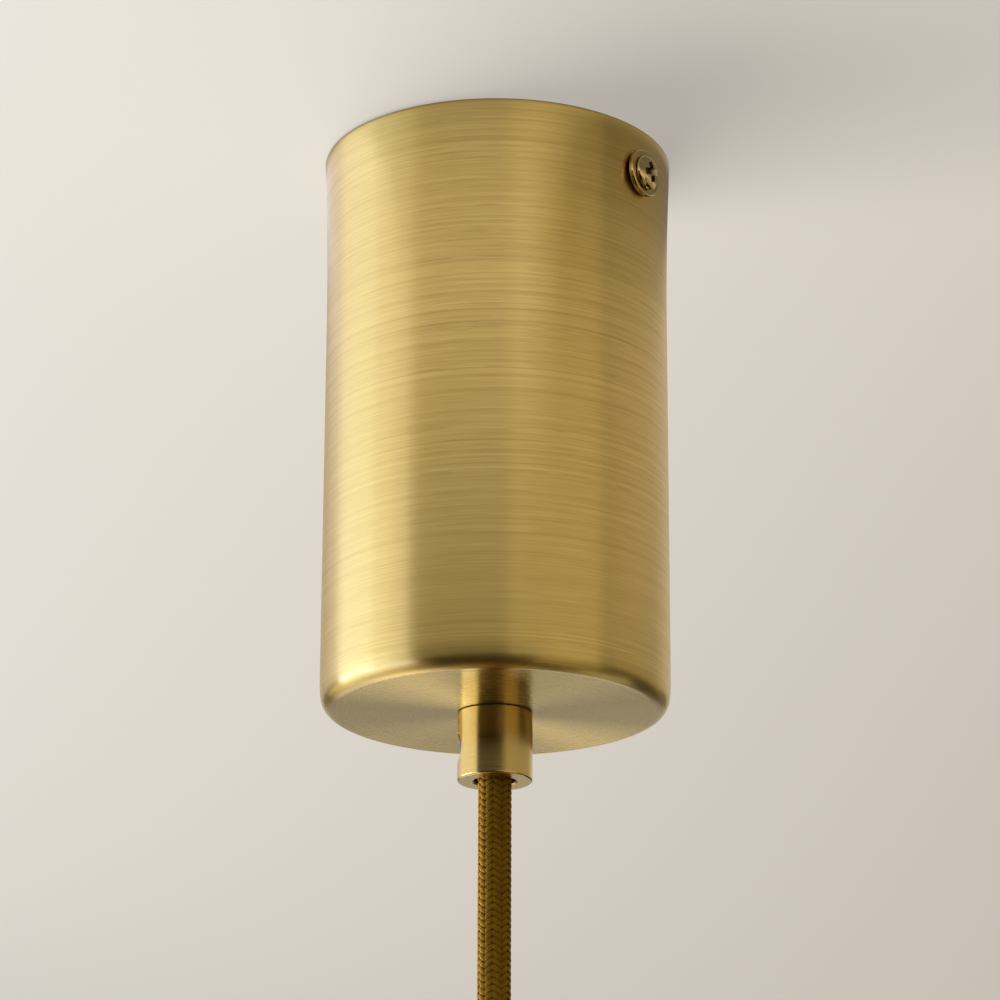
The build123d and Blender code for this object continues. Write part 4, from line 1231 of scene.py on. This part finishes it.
class PENDANT_OT_fixings(bpy.types.Operator):
    """Turns the side screws and their washers"""

    bl_idname = "pendant.fixings"
    bl_label = "Turn Side Screws"

    def execute(self, context):
        fixing = context.scene.pendant.fixing
        for side, turn in (("right", 0.0), ("left", math.pi)):
            stand = sideways(-fixing.drop, turn, WASHER_HIGH.x)
            washer = moved(self.washer(fixing, side), stand)
            hang_on(washer, "plated_brass", side + "_washer", "plain_brass", "side_washer_" + side)
            screw = moved(self.screw(fixing, side), stand)
            hang_on(screw, "plated_brass", side + "_screw", "plain_brass", "side_screw_" + side)
        return {"FINISHED"}

    def washer(self, fixing, side):
        """A pressed washer with rolled edges, its top face at z = 0."""
        thick, rim = WASHER_HIGH.x - WASHER_LOW.x, fixing.washer
        bore, bevel = fixing.shank + 0.1 * MM, 0.2 * MM
        roll, dish = 0.32 * MM, 0.05 * MM
        profile = [(bore, -thick), (rim - roll, -thick)]
        profile += arc((rim - roll, -thick + roll), roll, -80.0, 0.0, 6)
        profile += arc((rim - roll, -roll), roll, 0.0, 80.0, 6)
        profile += [(rim - roll, 0.0), (rim - 2.0 * roll, -dish), (bore + bevel, -dish), (bore, -bevel)]
        return shade(lathe("washer_" + side, profile, segments=72), degrees=50.0)

    def screw(self, fixing, side):
        """A pan screw with a cross recess, the underside of its head at z = 0."""
        head, tall, shank, under = fixing.head, fixing.head_height, fixing.shank, -fixing.shank_length
        skirt, wall, tip = 0.12 * MM, 0.22 * MM, 0.4 * MM
        plain, pitch, thread_depth = 0.6 * MM, 0.5 * MM, 0.26 * MM
        profile = [(0.0, under), (shank - tip, under), (shank, under + tip)]
        profile += run(profile[-1], (shank, 0.0), 80)
        profile += [(head - skirt, 0.0)]
        profile += arc((head - skirt, skirt), skirt, -60.0, 0.0, 3)
        profile += arc((0.0, wall), head, 0.0, 90.0, 16, tall - wall)
        thread = (under, -plain, shank, pitch, thread_depth)
        rod = solid_rod("screw_" + side, profile, segments=64, thread=thread)
        half, arm_half, arm_top, arm_taper = fixing.recess / 2.0, 0.6 * MM, tall + 0.3 * MM, 0.4
        arms = []
        for quarter in (0.0, 90.0):
            low = (-half, -arm_half, tall - fixing.recess_depth)
            arm = block("arm", low, (half, arm_half, arm_top), arm_taper)
            arms.append(moved(arm, Matrix.Rotation(fixing.recess_turn + math.radians(quarter), 4, "Z")))
        cut(rod, *arms)
        # Painted shade in the cross recess: none near the crown, full at this depth below it.
        margin, full_shade_depth = 0.1 * MM, 0.4 * MM

        def in_recess(out, up):
            """Painted shade deepens with the depth below the head's crown."""
            if up < margin or out > half + margin:
                return 0.0
            crown = wall + (tall - wall) * math.sqrt(max(1.0 - (out / head) ** 2, 0.0))
            return min(max(crown - up, 0.0) / full_shade_depth, 1.0)

        return paint_shade(shade(rod, degrees=32.0), in_recess)


class PENDANT_OT_inside(bpy.types.Operator):
    """Finishes the strap, terminals, earth parts and cores inside the cup"""

    bl_idname = "pendant.inside"
    bl_label = "Finish Inside"

    def execute(self, context):
        dress({
            "zinc_steel": ("ceiling_bracket", "terminal_screws", "block_screws", "grip_washer", "grip_nut"),
            "plain_brass": ("terminal_inserts", "earth_lug", "earth_screw"),
            "white_plastic": ("terminal_block",),
            "brown_sheath": ("core_live",),
            "blue_sheath": ("core_neutral",),
            "green_sheath": ("core_earth", "earth_lead"),
        })
        return {"FINISHED"}


class PENDANT_OT_lampholder(bpy.types.Operator):
    """Rolls the screw shell and finishes the lampholder's other parts"""

    bl_idname = "pendant.lampholder"
    bl_label = "Finish Lampholder"

    def execute(self, context):
        hang_on(self.screw_shell(), "nickel", "lamp", "nickel", "screw_shell")
        dress({
            "socket_white": ("socket_cap", "socket_body"),
            "zinc_steel": ("holder_nut", "holder_earth_tag", "socket_terminals"),
            "nickel": ("contact_rivet", "centre_contact"),
            "brown_sheath": ("holder_core_live",),
            "blue_sheath": ("holder_core_neutral",),
            "green_sheath": ("holder_core_earth",),
        })
        return {"FINISHED"}

    def screw_shell(self):
        """A thin sheet tube with the lamp's round thread."""
        sheet, depth, pitch, play = 0.3 * MM, 0.22 * MM, 3.62 * MM, 0.02 * MM
        shell = add_object("lamp_thread", bpy.data.meshes.new("lamp_thread"))
        shell.data = with_modifier(shell, thread_tree(), {
            "Radius": SHELL_HIGH.x - sheet - depth - play, "Depth": depth, "Pitch": pitch,
            "Bottom": SHELL_LOW.z, "Length": SHELL_HIGH.z - SHELL_LOW.z, "Around": 97, "Rows": 90,
            "Material": material("nickel"),
        })
        wall = shell.modifiers.new("wall", "SOLIDIFY")
        wall.thickness = sheet
        wall.offset = 1.0
        shell.data = evaluated_mesh(shell)
        shell.modifiers.clear()
        return shade(outward(shell), degrees=50.0)


class PENDANT_PT_sidebar(bpy.types.Panel):
    """The pendant's steps and values"""

    bl_label = "Pendant Light"
    bl_idname = "PENDANT_PT_sidebar"
    bl_space_type = "VIEW_3D"
    bl_region_type = "UI"
    bl_category = "Pendant"

    def draw(self, context):
        for step in STEPS:
            self.layout.operator(step.bl_idname)
        settings = context.scene.pendant
        for part in PendantSettings.__annotations__:
            group = getattr(settings, part)
            box = self.layout.box()
            for name in group.__annotations__:
                box.prop(group, name)


GROUPS = (PendantCup, PendantGrip, PendantFixing, PendantCord, PendantFinish, PendantStage, PendantSettings)
STEPS = (
    PENDANT_OT_finishes,
    PENDANT_OT_stage,
    PENDANT_OT_cord,
    PENDANT_OT_cup,
    PENDANT_OT_grips,
    PENDANT_OT_set_screws,
    PENDANT_OT_fixings,
    PENDANT_OT_inside,
    PENDANT_OT_lampholder,
)
CLASSES = GROUPS + STEPS + (PENDANT_PT_sidebar,)


def register():
    """Adds the classes and the scene's settings."""
    for item in CLASSES:
        bpy.utils.register_class(item)
    bpy.types.Scene.pendant = PointerProperty(
        type=PendantSettings, name="Pendant", description="All of the pendant's values",
    )


def unregister():
    """Takes them away again."""
    del bpy.types.Scene.pendant
    for item in reversed(CLASSES):
        bpy.utils.unregister_class(item)


def main():
    """Builds the pendant step by step."""
    register()
    bpy.ops.pendant.finishes()
    bpy.ops.pendant.stage()
    bpy.ops.pendant.cord()
    bpy.ops.pendant.cup()
    bpy.ops.pendant.grips()
    bpy.ops.pendant.set_screws()
    bpy.ops.pendant.fixings()
    bpy.ops.pendant.inside()
    bpy.ops.pendant.lampholder()


if __name__ == "__main__":
    main()
